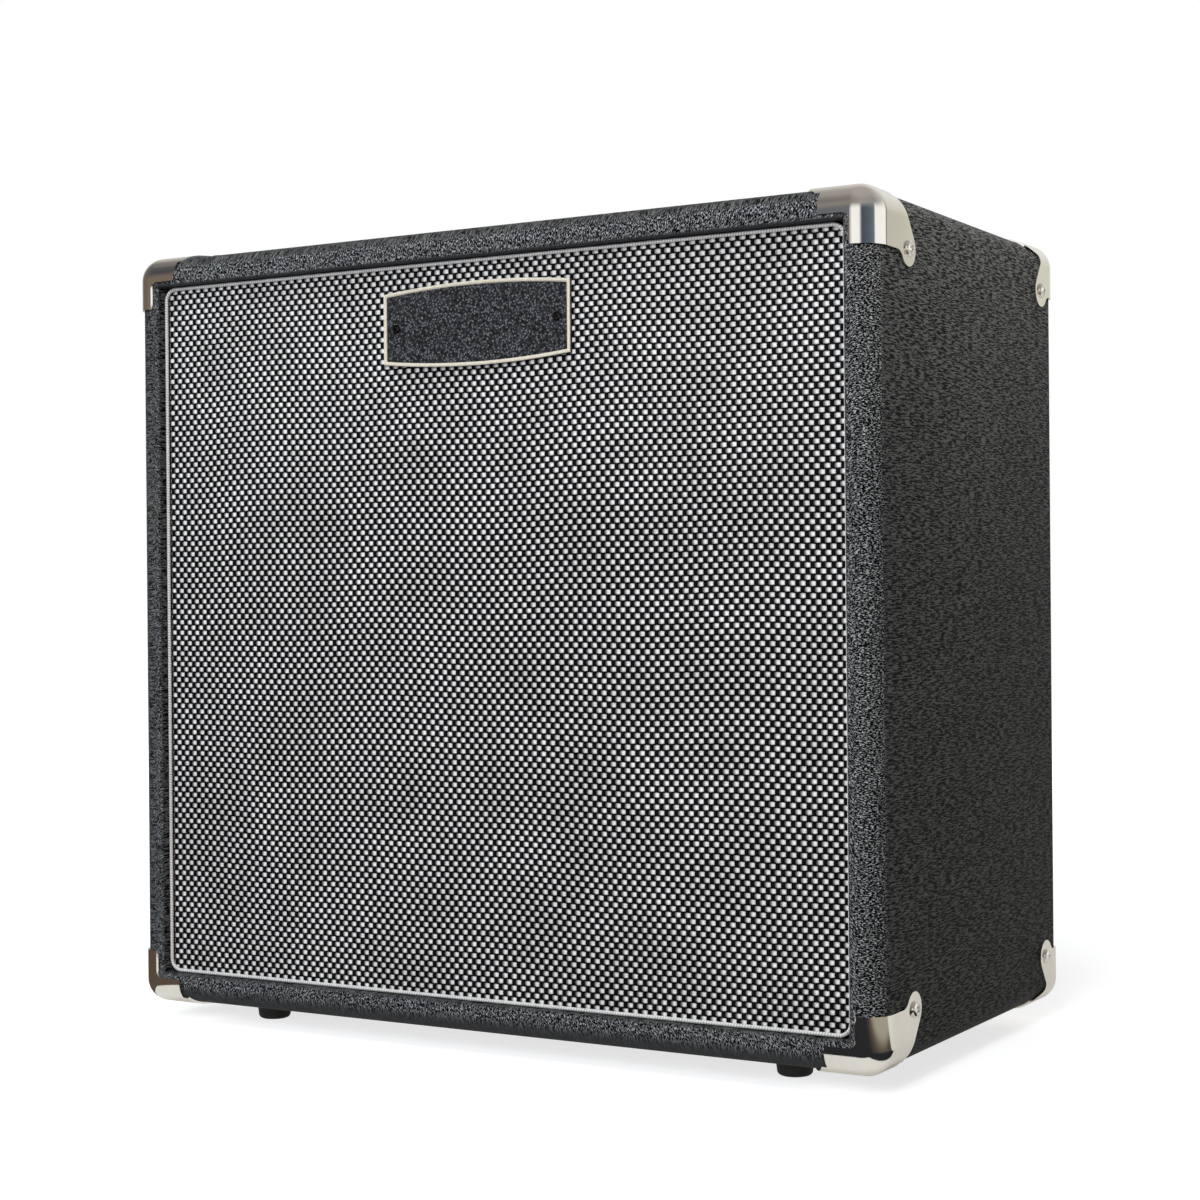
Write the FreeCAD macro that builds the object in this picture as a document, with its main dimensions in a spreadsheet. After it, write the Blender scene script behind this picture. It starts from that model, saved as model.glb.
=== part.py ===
import FreeCAD, Part
import math
import os
import re

import Sketcher

# Guitar speaker cabinet: a covered plywood box on rubber feet, with a grille of woven cloth in front,
# one 12 inch speaker on a baffle, a part-open back and a strap handle on top.
# Frame: origin on the floor under the middle of the box, X to the right seen from the front,
# Y to the back, Z up. Millimetres.

Vector = FreeCAD.Vector
ALONG_X = Vector(1, 0, 0)
ALONG_Y = Vector(0, 1, 0)
ALONG_Z = Vector(0, 0, 1)

driving_sizes = [
    # covered box
    ("cab_width", 450),
    ("cab_height", 416),
    ("cab_depth", 250),
    ("board", 15),
    ("vinyl", 0.6),
    ("edge_radius", 12),
    # clearances
    ("fit", 0.15),
    ("slide_gap", 0.3),
    ("seat_gap", 0.05),
    ("board_gap", 0.5),
    ("overrun", 1),
    # rubber feet and their screws
    ("foot_height", 11),
    ("foot_radius", 10),
    ("foot_sole_radius", 8.6),
    ("foot_edge", 2.2),
    ("foot_edge_radius", 2.42),
    ("foot_inset_side", 63),
    ("foot_inset_front", 40),
    ("foot_well_radius", 4.8),
    ("foot_well_depth", 5),
    ("foot_screw_head_radius", 4.2),
    ("foot_screw_head_height", 2.2),
    ("foot_screw_radius", 2),
    ("foot_screw_length", 17),
    # wood screws of the corners, the baffle and the back
    ("screw_head_radius", 4),
    ("screw_head_height", 2.1),
    ("screw_radius", 1.7),
    ("screw_length", 12),
    ("panel_screw_length", 24),
    # pressed corner protectors
    ("protector_sheet", 1),
    ("protector_gap", 0.15),
    ("protector_margin", 5.8),
    ("protector_band", 28.5),
    ("ear_along", 38),
    ("ear_across", 26.8),
    ("ear_radius", 8.6),
    ("ear_bend", 8),
    ("ear_seam", 29.5),
    ("lip_side", 12),
    ("lip_top", 13.5),
    ("lip_corner", 4),
    ("rear_ear_along", 25.2),
    ("rear_ear_across", 25.8),
    ("rear_ear_radius", 8.8),
    ("rear_ear_bend", 6),
    ("rear_ear_seam", 40),
    ("rear_notch_along", 25),
    ("rear_notch_across", 9),
    ("rear_notch_radius", 3.4),
    ("back_corner_radius", 12),
    # grille
    ("bead_recess", 6),
    ("bead_diameter", 2),
    ("bead_corner", 6.5),
    ("bead_gap", 0.3),
    ("cloth", 0.8),
    ("cloth_gap", 0.8),
    ("rail_depth", 9),
    ("rail_width", 22),
    ("pad_depth", 2.3),
    ("pad_length", 40),
    ("pad_width", 15),
    ("pad_spread_across", 120),
    ("pad_spread_up", 100),
    # bare badge plate
    ("badge_width", 114.7),
    ("badge_end_height", 37),
    ("badge_mid_height", 43.6),
    ("badge_drop", 50),
    ("badge_plate", 2.2),
    ("badge_rim", 2),
    ("badge_field_depth", 0.7),
    ("badge_screw_inset", 7.85),
    ("badge_screw_head_radius", 2.4),
    ("badge_screw_head_height", 1.2),
    ("badge_screw_radius", 1.1),
    ("badge_screw_length", 9),
    ("badge_block_width", 130),
    ("badge_block_height", 23),
    # baffle
    ("baffle", 15),
    ("cutout_overlap", 13.5),
    ("batten", 18),
    ("baffle_screw_spread_across", 150),
    ("baffle_screw_spread_up", 60),
    # speaker, radii and depths behind the baffle
    ("gasket", 2),
    ("gasket_width", 12.5),
    ("flange_radius", 155),
    ("flange_width", 21),
    ("bolt_inset", 6.5),
    ("bolt_count", 8),
    ("bolt_radius", 2.5),
    ("bolt_head_radius", 4.4),
    ("bolt_head_height", 3.2),
    ("bolt_length", 17),
    ("tee_flange_radius", 6.4),
    ("tee_flange", 1.3),
    ("tee_barrel_radius", 3.6),
    ("tee_barrel", 9),
    ("basket_sheet", 1.6),
    ("ledge_radius", 78),
    ("ledge_width", 11),
    ("ledge_depth", 62),
    ("floor_step", 3),
    ("floor_width", 24),
    ("floor_drop", 16),
    ("wall_lean_share", 0.43),
    ("window_margin", 10),
    ("window_foot", 8),
    ("window_half_angle", 16),
    ("rim_gap", 1.5),
    ("surround_width", 6),
    ("surround_sheet", 0.7),
    ("surround_pleat", 2.4),
    ("cone_rim_width", 3.5),
    ("cone_rim_depth", 3.4),
    ("cone_paper", 0.9),
    ("neck_gap", 4),
    ("cap_margin", 7),
    ("cap_height", 11),
    ("cap_paper", 0.7),
    ("former_radius", 26),
    ("former_wall", 0.5),
    ("former_tail", 2),
    ("coil_wire", 0.85),
    ("coil_gap", 0.75),
    ("coil_inset", 1.4),
    ("coil_length", 12),
    ("spider_sheet", 0.7),
    ("spider_pleat", 3),
    ("top_plate_radius", 62),
    ("top_plate", 8),
    ("magnet_radius", 78),
    ("magnet_bore", 42),
    ("magnet", 20),
    ("yoke_radius", 70),
    ("yoke_plate", 8),
    ("pole_gap", 0.9),
    ("vent_radius", 10),
    ("terminal_width", 22),
    ("terminal_length", 16),
    ("terminal_plate", 1.6),
    ("lug_width", 4),
    ("lug_sheet", 1),
    ("lug_length", 9),
    ("lug_spacing", 12),
    # wiring
    ("lead_diameter", 2.8),
    ("lead_gap", 0.5),
    ("tinsel_diameter", 1.4),
    ("tinsel_loop", 4.8),
    # back
    ("back_recess", 6),
    ("back_panel", 12),
    ("back_panel_height", 128),
    ("back_screw_spread_across", 110),
    ("back_screw_spread_up", 38),
    # jack
    ("jack_offset", 120),
    ("jack_bore", 3.2),
    ("jack_bush_radius", 4.7),
    ("jack_bush_proud", 4.2),
    ("jack_body_width", 18),
    ("jack_body_height", 22),
    ("jack_body_depth", 24),
    ("jack_end_wall", 2),
    ("jack_tag_spacing", 9),
    ("washer_radius", 8),
    ("washer", 0.8),
    ("nut_radius", 7.6),
    ("nut", 2.2),
    # strap handle
    ("handle_span", 216),
    ("cap_length", 36),
    ("cap_side", 5),
    ("cap_tall", 9.5),
    ("cap_round", 3),
    ("cap_screw_head_radius", 5),
    ("cap_screw_head_height", 2),
    ("cap_screw_radius", 2.4),
    ("cap_screw_length", 21),
    ("strip", 1),
    ("strip_width", 20),
    ("strip_lift", 3),
    ("strip_rise", 8),
    ("strip_slot", 16),
    ("strip_overhang", 11),
    ("grip_length", 132),
    ("grip_side", 2.5),
    ("grip_below", 3.6),
    ("grip_above", 4.6),
    ("grip_round", 2.6),
]

doc = FreeCAD.newDocument("SpeakerCabinet")
sheet = doc.addObject("Spreadsheet::Sheet", "Sizes")
for row, (alias, number) in enumerate(driving_sizes, start=1):
    sheet.set(f"A{row}", alias)
    sheet.set(f"B{row}", str(number))
    sheet.setAlias(f"B{row}", alias)
doc.recompute()
aliases = {alias for alias, number in driving_sizes}
nodes = []


def formula(text):
    """Write the sheet's name before each size that a formula uses."""
    return re.sub(r"[a-z][a-z0-9_]*", lambda m: "Sizes." + m[0] if m[0] in aliases else m[0], text)


def size(text):
    """The number that a formula of sizes comes to."""
    return float(sheet.evalExpression(formula(text)))


# places that several pieces share, as formulas of the sizes
front = "(-cab_depth / 2)"
back = "(cab_depth / 2)"
side = "(cab_width / 2)"
roof = "(foot_height + cab_height)"
middle = "(foot_height + cab_height / 2)"
wall = "(board + vinyl)"
cavity_side = f"({side} - {wall})"
cavity_low = f"(foot_height + {wall})"
cavity_high = f"({roof} - {wall})"
mouth_side = f"({cavity_side} - vinyl)"
mouth_low = f"({cavity_low} + vinyl)"
mouth_high = f"({cavity_high} - vinyl)"
bead_y = f"({front} + bead_recess)"
cloth_front = f"({bead_y} + bead_diameter / 2 + seat_gap)"
rail_front = f"({cloth_front} + cloth)"
pad_front = f"({rail_front} + rail_depth)"
baffle_front = f"({pad_front} + pad_depth)"
baffle_back = f"({baffle_front} + baffle)"
panel_front = f"({back} - back_recess - back_panel)"
panel_back = f"({back} - back_recess)"
frame_side = f"({mouth_side} - cloth_gap - cloth)"
frame_low = f"({mouth_low} + cloth_gap + cloth)"
frame_high = f"({mouth_high} - cloth_gap - cloth)"
protector_reach = "(ear_along + ear_radius + protector_margin)"

# radii and depths of the speaker that follow from one another
throat = "(flange_radius - flange_width)"
bolt_circle = "(flange_radius - bolt_inset)"
gasket_inner = "(flange_radius - gasket_width)"
surround_rim = f"({gasket_inner} - rim_gap)"
cone_rim = f"({throat} - surround_width)"
cone_rim_inner = f"({cone_rim} - cone_rim_width)"
ledge_inner = "(ledge_radius - ledge_width)"
floor_radius = f"({ledge_inner} - floor_step)"
floor_depth = "(ledge_depth + floor_drop)"
window_outer = f"({throat} - window_margin)"
window_inner = "(ledge_radius + window_foot)"
neck_depth = "(ledge_depth - neck_gap)"
cone_slope = f"(({neck_depth} - cone_rim_depth) / ({cone_rim_inner} - former_radius - fit))"
plate_front = f"({floor_depth} + basket_sheet)"
coil_front = f"({plate_front} + coil_inset)"
former_end = f"({coil_front} + coil_length + former_tail)"

# share of a lead's shorter run that a bend takes up, and how far a tinsel lead leans out at its loop
bend_share = 0.45
tinsel_lean_share = 0.5


def bind(item, **formulas):
    for name, text in formulas.items():
        item.setExpression(name, formula(text))
    return item


def place(item, x="0", y="0", z="0"):
    for axis, text in zip("xyz", (x, y, z)):
        item.setExpression(f"Placement.Base.{axis}", formula(text))
    return item


def node(item, name):
    """Take an object as a sub-part: its label names its file."""
    item.Label = name
    nodes.append(item)
    return item


def block(name, x, y, z):
    """A box between two formulas along each axis."""
    item = doc.addObject("Part::Box", name)
    spans = [f"({high}) - ({low})" for low, high in (x, y, z)]
    bind(item, Length=spans[0], Width=spans[1], Height=spans[2])
    return place(item, x[0], y[0], z[0])


def rod(name, radius, length, x="0", y="0", z="0", turn=None):
    """A cylinder that starts at a place and runs along Z, or along Z turned by a rotation."""
    item = doc.addObject("Part::Cylinder", name)
    bind(item, Radius=radius, Height=length)
    if turn:
        item.Placement = FreeCAD.Placement(Vector(), turn)
    return place(item, x, y, z)


def cut(name, base, tool):
    item = doc.addObject("Part::Cut", name)
    item.Base = base
    item.Tool = tool
    return item


def fuse(name, items):
    item = doc.addObject("Part::MultiFuse", name)
    item.Shapes = items
    return item


def group(name, items):
    """Separate solids that are one sub-part."""
    item = doc.addObject("Part::Compound", name)
    item.Links = items
    return item


def mirrored(name, source, normal, level="0"):
    item = doc.addObject("Part::Mirroring", name)
    item.Source = source
    item.Normal = normal
    item.setExpression("Base.z", formula(level))
    return item


def formed(name, shape):
    """A piece whose shape is worked out in code."""
    item = doc.addObject("Part::Feature", name)
    item.Shape = shape
    return item


def scatter(name, seed, places):
    """Copies of a turned piece, its axis along each outward direction, as one set of solids."""
    doc.recompute()
    copies = []
    for spot, outward in places:
        turn = FreeCAD.Rotation(ALONG_Z, outward)
        copy = seed.Shape.copy()
        copy.Placement = FreeCAD.Placement(spot, turn)
        copies.append(copy)
    return formed(name, Part.makeCompound(copies))


def pilots(name, places, radius, depth):
    """Holes for the same places, from just outside the surface down to a depth."""
    reach = size(depth) + size("overrun")
    holes = []
    for spot, outward in places:
        start = spot + outward * size("overrun")
        holes.append(Part.makeCylinder(size(radius), reach, start, -outward))
    return formed(name, Part.makeCompound(holes))


def new_body(name):
    return doc.addObject("PartDesign::Body", name)


def new_sketch(body, role, name, offset="0"):
    sketch = body.newObject("Sketcher::SketchObject", name)
    plane = next(item for item in body.Origin.OriginFeatures if item.Role == role)
    sketch.AttachmentSupport = [(plane, "")]
    sketch.MapMode = "FlatFace"
    sketch.setExpression("AttachmentOffset.Base.z", formula(offset))
    return sketch


def pin(sketch, edge, end, x, y):
    """Hold one end of an edge at a place given by two formulas."""
    for kind, text, axis in (("DistanceX", x, -2), ("DistanceY", y, -1)):
        if text == "0":
            sketch.addConstraint(Sketcher.Constraint("PointOnObject", edge, end, axis))
            continue
        index = sketch.addConstraint(Sketcher.Constraint(kind, -1, 1, edge, end, size(text)))
        sketch.setExpression(f"Constraints[{index}]", formula(text))


def outline(sketch, corners):
    """A closed outline. Each corner is (x, y), or (x, y, radius, turn) where an arc leads to it from the
    corner before: turn is 1 for an arc that runs anticlockwise and -1 for one that runs clockwise."""
    first = sketch.GeometryCount
    starts = []
    for index, corner in enumerate(corners):
        before = corners[index - 1]
        a = Vector(size(before[0]), size(before[1]), 0)
        b = Vector(size(corner[0]), size(corner[1]), 0)
        if len(corner) == 2:
            edge = sketch.addGeometry(Part.LineSegment(a, b))
            starts.append((edge, 1, 2))
            continue
        radius = size(corner[2])
        chord = b - a
        across = Vector(-chord.y, chord.x, 0).normalize() * corner[3]
        centre = (a + b) * 0.5 + across * math.sqrt(max(radius**2 - chord.Length**2 / 4, 0))
        lead, tail = (a, b) if corner[3] > 0 else (b, a)
        angles = [math.atan2(p.y - centre.y, p.x - centre.x) for p in (lead, tail)]
        edge = sketch.addGeometry(Part.ArcOfCircle(Part.Circle(centre, ALONG_Z, radius), *angles))
        starts.append((edge, 1, 2) if corner[3] > 0 else (edge, 2, 1))
        bound = sketch.addConstraint(Sketcher.Constraint("Radius", edge, radius))
        sketch.setExpression(f"Constraints[{bound}]", formula(corner[2]))
    for index, corner in enumerate(corners):
        edge, start, end = starts[index]
        following = starts[(index + 1) % len(starts)]
        sketch.addConstraint(Sketcher.Constraint("Coincident", edge, end, following[0], following[1]))
        pin(sketch, edge, end, corner[0], corner[1])
    return first


def circle(sketch, x, y, radius):
    at = Vector(size(x), size(y), 0)
    edge = sketch.addGeometry(Part.Circle(at, ALONG_Z, size(radius)))
    pin(sketch, edge, 3, x, y)
    index = sketch.addConstraint(Sketcher.Constraint("Radius", edge, size(radius)))
    sketch.setExpression(f"Constraints[{index}]", formula(radius))
    return edge


def rectangle(x, y):
    return [(x[0], y[0]), (x[1], y[0]), (x[1], y[1]), (x[0], y[1])]


def pad(body, sketch, length):
    feature = body.newObject("PartDesign::Pad", body.Name + "_pad")
    feature.Profile = sketch
    bind(feature, Length=length)
    body.Tip = feature
    return feature


def pocket(body, sketch):
    """Cut a sketch's outline right through, both ways."""
    feature = body.newObject("PartDesign::Pocket", body.Name + "_pocket")
    feature.Profile = sketch
    feature.Type = "ThroughAll"
    feature.SideType = "Symmetric"
    body.Tip = feature
    return feature


def round_edges(body, radius, chosen):
    """Round the edges of a body's last feature that a test chooses."""
    doc.recompute()
    base = body.Tip
    names = [f"Edge{n}" for n, edge in enumerate(base.Shape.Edges, start=1) if chosen(edge)]
    feature = body.newObject("PartDesign::Fillet", body.Name + "_round")
    feature.Base = (base, names)
    bind(feature, Radius=radius)
    body.Tip = feature
    return feature


def slab(name, x, y, z):
    """A board padded up from a rectangle."""
    body = new_body(name)
    sketch = new_sketch(body, "XY_Plane", name + "_sketch", z[0])
    outline(sketch, rectangle(x, y))
    pad(body, sketch, f"({z[1]}) - ({z[0]})")
    return body


def turned(name, profile, x="0", y="0", z="0", turn=None):
    """A piece turned about its own Z axis from a profile of (radius, height) corners."""
    body = new_body(name)
    sketch = new_sketch(body, "XZ_Plane", name + "_profile")
    outline(sketch, profile)
    feature = body.newObject("PartDesign::Revolution", name + "_turn")
    feature.Profile = sketch
    feature.ReferenceAxis = (sketch, ["V_Axis"])
    body.Tip = feature
    if turn:
        body.Placement = FreeCAD.Placement(Vector(), turn)
    return place(body, x, y, z)


BACKWARD = FreeCAD.Rotation(ALONG_X, -90)


def on_speaker_axis(name, profile):
    """A turned speaker piece: its Z is the depth behind the baffle."""
    return turned(name, profile, "0", baffle_back, middle, BACKWARD)


def screw_seed(name, head_radius, head_height, shank_radius, length):
    """A domed screw, its axis along Z, the underside of its head at zero."""
    dome = f"({head_radius}^2 + {head_height}^2) / (2 * {head_height})"
    return turned(
        name,
        [
            ("0", f"-{length}"),
            (shank_radius, f"-{length}"),
            (shank_radius, "0"),
            (head_radius, "0"),
            ("0", head_height, dome, 1),
        ],
    )


def at_mirrors(spots):
    """Each place and its mirror image across the middle of the width."""
    both = []
    for spot, outward in spots:
        both.append((spot, outward))
        both.append((Vector(-spot.x, spot.y, spot.z), Vector(-outward.x, outward.y, outward.z)))
    return both


# places of the corner screws: one in each ear, at all eight corners
def corner_screw_places():
    proud = size("protector_gap + protector_sheet + seat_gap")
    low, high = size("foot_height"), size(roof)
    spots = []
    for level, up in ((high, 1), (low, -1)):
        for edge, inward, ear in (
            (size(front), 1, ("ear_along", "ear_across")),
            (size(back), -1, ("rear_ear_along", "rear_ear_across")),
        ):
            y = edge + inward * size(ear[0])
            z = level - up * size(ear[1])
            spots.append((Vector(size(side) + proud, y, z), ALONG_X))
        z = level + up * proud
        x_front = size(f"{side} - ear_along")
        spots.append((Vector(x_front, size(f"{front} + ear_across"), z), ALONG_Z * up))
        x_back = size(f"{side} - ear_across")
        spots.append((Vector(x_back, size(f"{back} - ear_along"), z), ALONG_Z * up))
    return at_mirrors(spots)


def foot_places():
    x = size(f"{side} - foot_inset_side")
    y = size(f"{back} - foot_inset_front")
    return [
        ("foot_front_left", -x, -y),
        ("foot_front_right", x, -y),
        ("foot_rear_left", -x, y),
        ("foot_rear_right", x, y),
    ]


def foot_screw_places():
    z = size("foot_well_depth")
    return [(Vector(x, y, z), -ALONG_Z) for name, x, y in foot_places()]


def handle_screw_places():
    z = size(f"{roof} + cap_tall + seat_gap")
    x = size("handle_span / 2")
    return [(Vector(x, 0, z), ALONG_Z), (Vector(-x, 0, z), ALONG_Z)]


corner_spots = corner_screw_places()
foot_spots = foot_screw_places()
handle_spots = handle_screw_places()
corner_holes = pilots("corner_holes", corner_spots, "screw_radius + fit", "screw_length + protector_sheet")
foot_holes = pilots("foot_holes", foot_spots, "foot_screw_radius + fit", "foot_screw_length")
handle_holes = pilots("handle_holes", handle_spots, "cap_screw_radius + fit", "cap_screw_length")


# plywood box: full-height sides, top and bottom butted between them
def on_level(edge, axis, level):
    """Whether both ends of an edge lie on a plane square to an axis."""
    return all(abs(getattr(end.Point, axis) - level) < size("seat_gap") for end in edge.Vertexes)


def box_boards():
    length = (f"{front} + vinyl", f"{back} - vinyl")
    upright = slab(
        "side_blank",
        (cavity_side, f"{side} - vinyl"),
        length,
        ("foot_height + vinyl", f"{roof} - vinyl"),
    )
    inner = size(cavity_side)
    round_edges(upright, "edge_radius - vinyl", lambda edge: not on_level(edge, "x", inner))
    lid = slab("lid_blank", (f"-{cavity_side}", cavity_side), length, (cavity_high, f"{roof} - vinyl"))
    top = size(f"{roof} - vinyl")
    ends = size(cavity_side)
    round_edges(
        lid,
        "edge_radius - vinyl",
        lambda e: on_level(e, "z", top) and not on_level(e, "x", ends) and not on_level(e, "x", -ends),
    )
    return upright, lid


upright, lid = box_boards()
other_upright = mirrored("other_side_blank", upright, ALONG_X)
floor_board = mirrored("floor_blank", lid, ALONG_Z, middle)
node(cut("right_side_panel", upright, corner_holes), "right_side_panel")
node(cut("left_side_panel", other_upright, corner_holes), "left_side_panel")
lid_holes = fuse("lid_holes", [corner_holes, handle_holes])
floor_holes = fuse("floor_holes", [corner_holes, foot_holes])
node(cut("top_panel", lid, lid_holes), "top_panel")
node(cut("bottom_panel", floor_board, floor_holes), "bottom_panel")


# vinyl covering: a skin on the boards, wrapped into the front mouth and the back
def vinyl_covering():
    skin = slab(
        "skin_blank", (f"-{side}", side), (front, back), ("foot_height", roof)
    )
    round_edges(skin, "edge_radius", lambda edge: True)
    cavity = block(
        "cavity",
        (f"-{cavity_side}", cavity_side),
        (baffle_front, panel_front),
        (cavity_low, cavity_high),
    )
    mouth = block(
        "mouth",
        (f"-{mouth_side}", mouth_side),
        (f"{front} - overrun", f"{back} + overrun"),
        (mouth_low, mouth_high),
    )
    core = fuse("box_core", [upright, other_upright, lid, floor_board, cavity, mouth])
    shell = cut("skin_shell", skin, core)
    holes = fuse("skin_holes", [corner_holes, foot_holes, handle_holes])
    return node(cut("vinyl_covering", shell, holes), "vinyl_covering")


vinyl_covering()


# corner protectors: pressed sheet over a rounded corner, worked out in the corner's own axes:
# u inward from the side, a inward from the front or back, b down from the top
def corner_block(grow):
    reach = size(protector_reach)
    corner = Vector(-grow, -grow, -grow)
    solid = Part.makeBox(reach + grow, reach + grow, reach + grow, corner)
    near = [e for e in solid.Edges if any(v.Point.isEqual(corner, size("seat_gap")) for v in e.Vertexes)]
    return solid.makeFillet(size("edge_radius") + grow, near)


def third_of_corner(axis):
    """The points of the corner that lie nearest to one face: a pyramid on that face."""
    low = -size("protector_gap + protector_sheet + overrun")
    high = size(f"{protector_reach} + overrun")
    base = []
    for first, second in ((low, low), (high, low), (high, high), (low, high)):
        point = [first, second]
        point.insert(axis, low)
        base.append(Vector(*point))
    apex = Vector(high, high, high)
    faces = [Part.Face(Part.makePolygon(base + base[:1]))]
    for start, end in zip(base, base[1:] + base[:1]):
        faces.append(Part.Face(Part.makePolygon([start, end, apex, start])))
    solid = Part.Solid(Part.Shell(faces))
    if solid.Volume < 0:
        solid.reverse()
    return solid


def arc_by_angles(centre, radius, start, end):
    middle_angle = (start + end) / 2
    points = [
        centre + Vector(math.cos(angle), math.sin(angle), 0) * radius
        for angle in (start, middle_angle, end)
    ]
    return Part.Arc(*points).toShape()


def polyline(points):
    return [Part.LineSegment(a, b).toShape() for a, b in zip(points, points[1:])]


def ear_outline(ear, radius, bend, seam):
    """Outline of one face: a band along the far edge, a fillet into a round ear, and a straight edge from
    the ear back to the seam with the next face. First axis along the ear, second axis across."""
    band = size("protector_band")
    out = -size("protector_gap + protector_sheet + overrun")
    drop = band + bend - ear.y
    fillet = Vector(ear.x - math.sqrt((bend + radius) ** 2 - drop**2), band + bend, 0)
    joint_angle = math.atan2(fillet.y - ear.y, fillet.x - ear.x)
    to_ear = ear - Vector(seam, 0, 0)
    edge_angle = math.atan2(to_ear.y, to_ear.x) - math.asin(radius / to_ear.Length)
    edge_way = Vector(math.cos(edge_angle), math.sin(edge_angle), 0)
    leaving = Vector(seam, 0, 0) + edge_way * math.sqrt(to_ear.Length**2 - radius**2)
    past = Vector(seam, 0, 0) + edge_way * (out / edge_way.y)
    band_start = Vector(fillet.x, band, 0)
    edges = [
        arc_by_angles(fillet, bend, joint_angle - math.pi, -math.pi / 2),
        arc_by_angles(ear, radius, edge_angle - math.pi / 2, joint_angle),
    ]
    edges += polyline([leaving, past, Vector(out, out, 0)])
    edges += polyline([Vector(out, out, 0), Vector(out, band, 0), band_start])
    return edges


def prism(edges, axis, order):
    """Carry an outline through the corner along one axis. Order says which corner axes its two are."""
    low = -size("protector_gap + protector_sheet + overrun")
    length = size(f"{protector_reach} + overrun") - low
    columns = [Vector(), Vector(), Vector()]
    columns[order[0]] = ALONG_X
    columns[order[1]] = ALONG_Y
    columns[axis] = columns[order[0]].cross(columns[order[1]])
    turn = FreeCAD.Matrix(
        *(value for column in columns for value in (column.x, column.y, column.z, 0)), 0, 0, 0, 1
    )
    wire = Part.Wire(Part.__sortEdges__(edges))
    face = Part.Face(wire.transformGeometry(turn))
    way = [Vector(1, 0, 0), Vector(0, 1, 0), Vector(0, 0, 1)][axis]
    face.translate(way * low)
    return face.extrude(way * length)


def lip_outline():
    """The front lip before its opening is cut: a square over the corner."""
    band = size("protector_band")
    out = -size("protector_gap + protector_sheet + overrun")
    corners = [Vector(x, y, 0) for x, y in ((out, out), (band, out), (band, band), (out, band))]
    return polyline(corners + corners[:1])


def lip_window():
    """The opening inside the front lip's two legs."""
    reach = size(f"{protector_reach} + overrun")
    across, down = size("lip_side"), size("lip_top")
    depth = size("edge_radius")
    low = -size("protector_gap + protector_sheet + overrun")
    solid = Part.makeBox(reach, depth - low, reach, Vector(across, low, down))
    inner = [
        e
        for e in solid.Edges
        if all(abs(v.Point.x - across) + abs(v.Point.z - down) < size("seat_gap") for v in e.Vertexes)
    ]
    return solid.makeFillet(size("lip_corner"), inner)


def rear_side_outline():
    """Side face of a rear protector: an ear that hangs down, a notch, and a flare along the top edge."""
    band = size("protector_band")
    out = -size("protector_gap + protector_sheet + overrun")
    ear = Vector(size("rear_ear_along"), size("rear_ear_across"), 0)
    radius, bend = size("rear_ear_radius"), size("rear_ear_bend")
    drop = band + bend - ear.y
    fillet = Vector(ear.x - math.sqrt((bend + radius) ** 2 - drop**2), band + bend, 0)
    joint_angle = math.atan2(fillet.y - ear.y, fillet.x - ear.x)
    notch_radius = size("rear_notch_radius")
    notch = Vector(size("rear_notch_along") + notch_radius, size("rear_notch_across"), 0)
    to_notch = ear - notch
    swing = math.asin((radius + notch_radius) / to_notch.Length)
    edge_angle = math.atan2(to_notch.y, to_notch.x) - swing
    edge_way = Vector(math.cos(edge_angle), math.sin(edge_angle), 0)
    beside = Vector(edge_way.y, -edge_way.x, 0)
    leaving = ear + beside * radius
    arriving = notch - beside * notch_radius
    past = Vector(size(protector_reach), out, 0)
    to_past = past - notch
    flare_angle = math.atan2(to_past.y, to_past.x) - math.asin(notch_radius / to_past.Length)
    flare_way = Vector(math.cos(flare_angle), math.sin(flare_angle), 0)
    flare_start = notch + Vector(flare_way.y, -flare_way.x, 0) * notch_radius
    arriving_angle = math.atan2(-beside.y, -beside.x)
    flare_start_angle = math.atan2(flare_start.y - notch.y, flare_start.x - notch.x)
    if arriving_angle < 0:
        arriving_angle += 2 * math.pi
    if flare_start_angle < 0:
        flare_start_angle += 2 * math.pi
    edges = [
        arc_by_angles(fillet, bend, joint_angle - math.pi, -math.pi / 2),
        arc_by_angles(ear, radius, math.atan2(beside.y, beside.x), joint_angle),
        arc_by_angles(notch, notch_radius, arriving_angle, flare_start_angle),
    ]
    edges += polyline([leaving, arriving])
    edges += polyline([flare_start, past, Vector(out, out, 0)])
    edges += polyline([Vector(out, out, 0), Vector(out, band, 0), Vector(fillet.x, band, 0)])
    return edges


def back_outline():
    """Back face of a rear protector: a square with one round corner."""
    band = size("protector_band")
    radius = size("back_corner_radius")
    out = -size("protector_gap + protector_sheet + overrun")
    edges = [arc_by_angles(Vector(band - radius, band - radius, 0), radius, 0, math.pi / 2)]
    edges += polyline([Vector(band - radius, band, 0), Vector(out, band, 0), Vector(out, out, 0)])
    edges += polyline([Vector(out, out, 0), Vector(band, out, 0), Vector(band, band - radius, 0)])
    return edges


def pressed_corner(side_edges, top_edges, end_edges, top_order, window=None):
    gap = size("protector_gap")
    skin = corner_block(gap + size("protector_sheet")).cut(corner_block(gap))
    faces = [
        (0, prism(side_edges, 0, (1, 2))),
        (2, prism(top_edges, 2, top_order)),
        (1, prism(end_edges, 1, (0, 2))),
    ]
    pieces = [skin.common(solid).common(third_of_corner(axis)) for axis, solid in faces]
    whole = pieces[0].fuse(pieces[1:]).removeSplitter()
    return whole.cut(window) if window else whole


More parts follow.
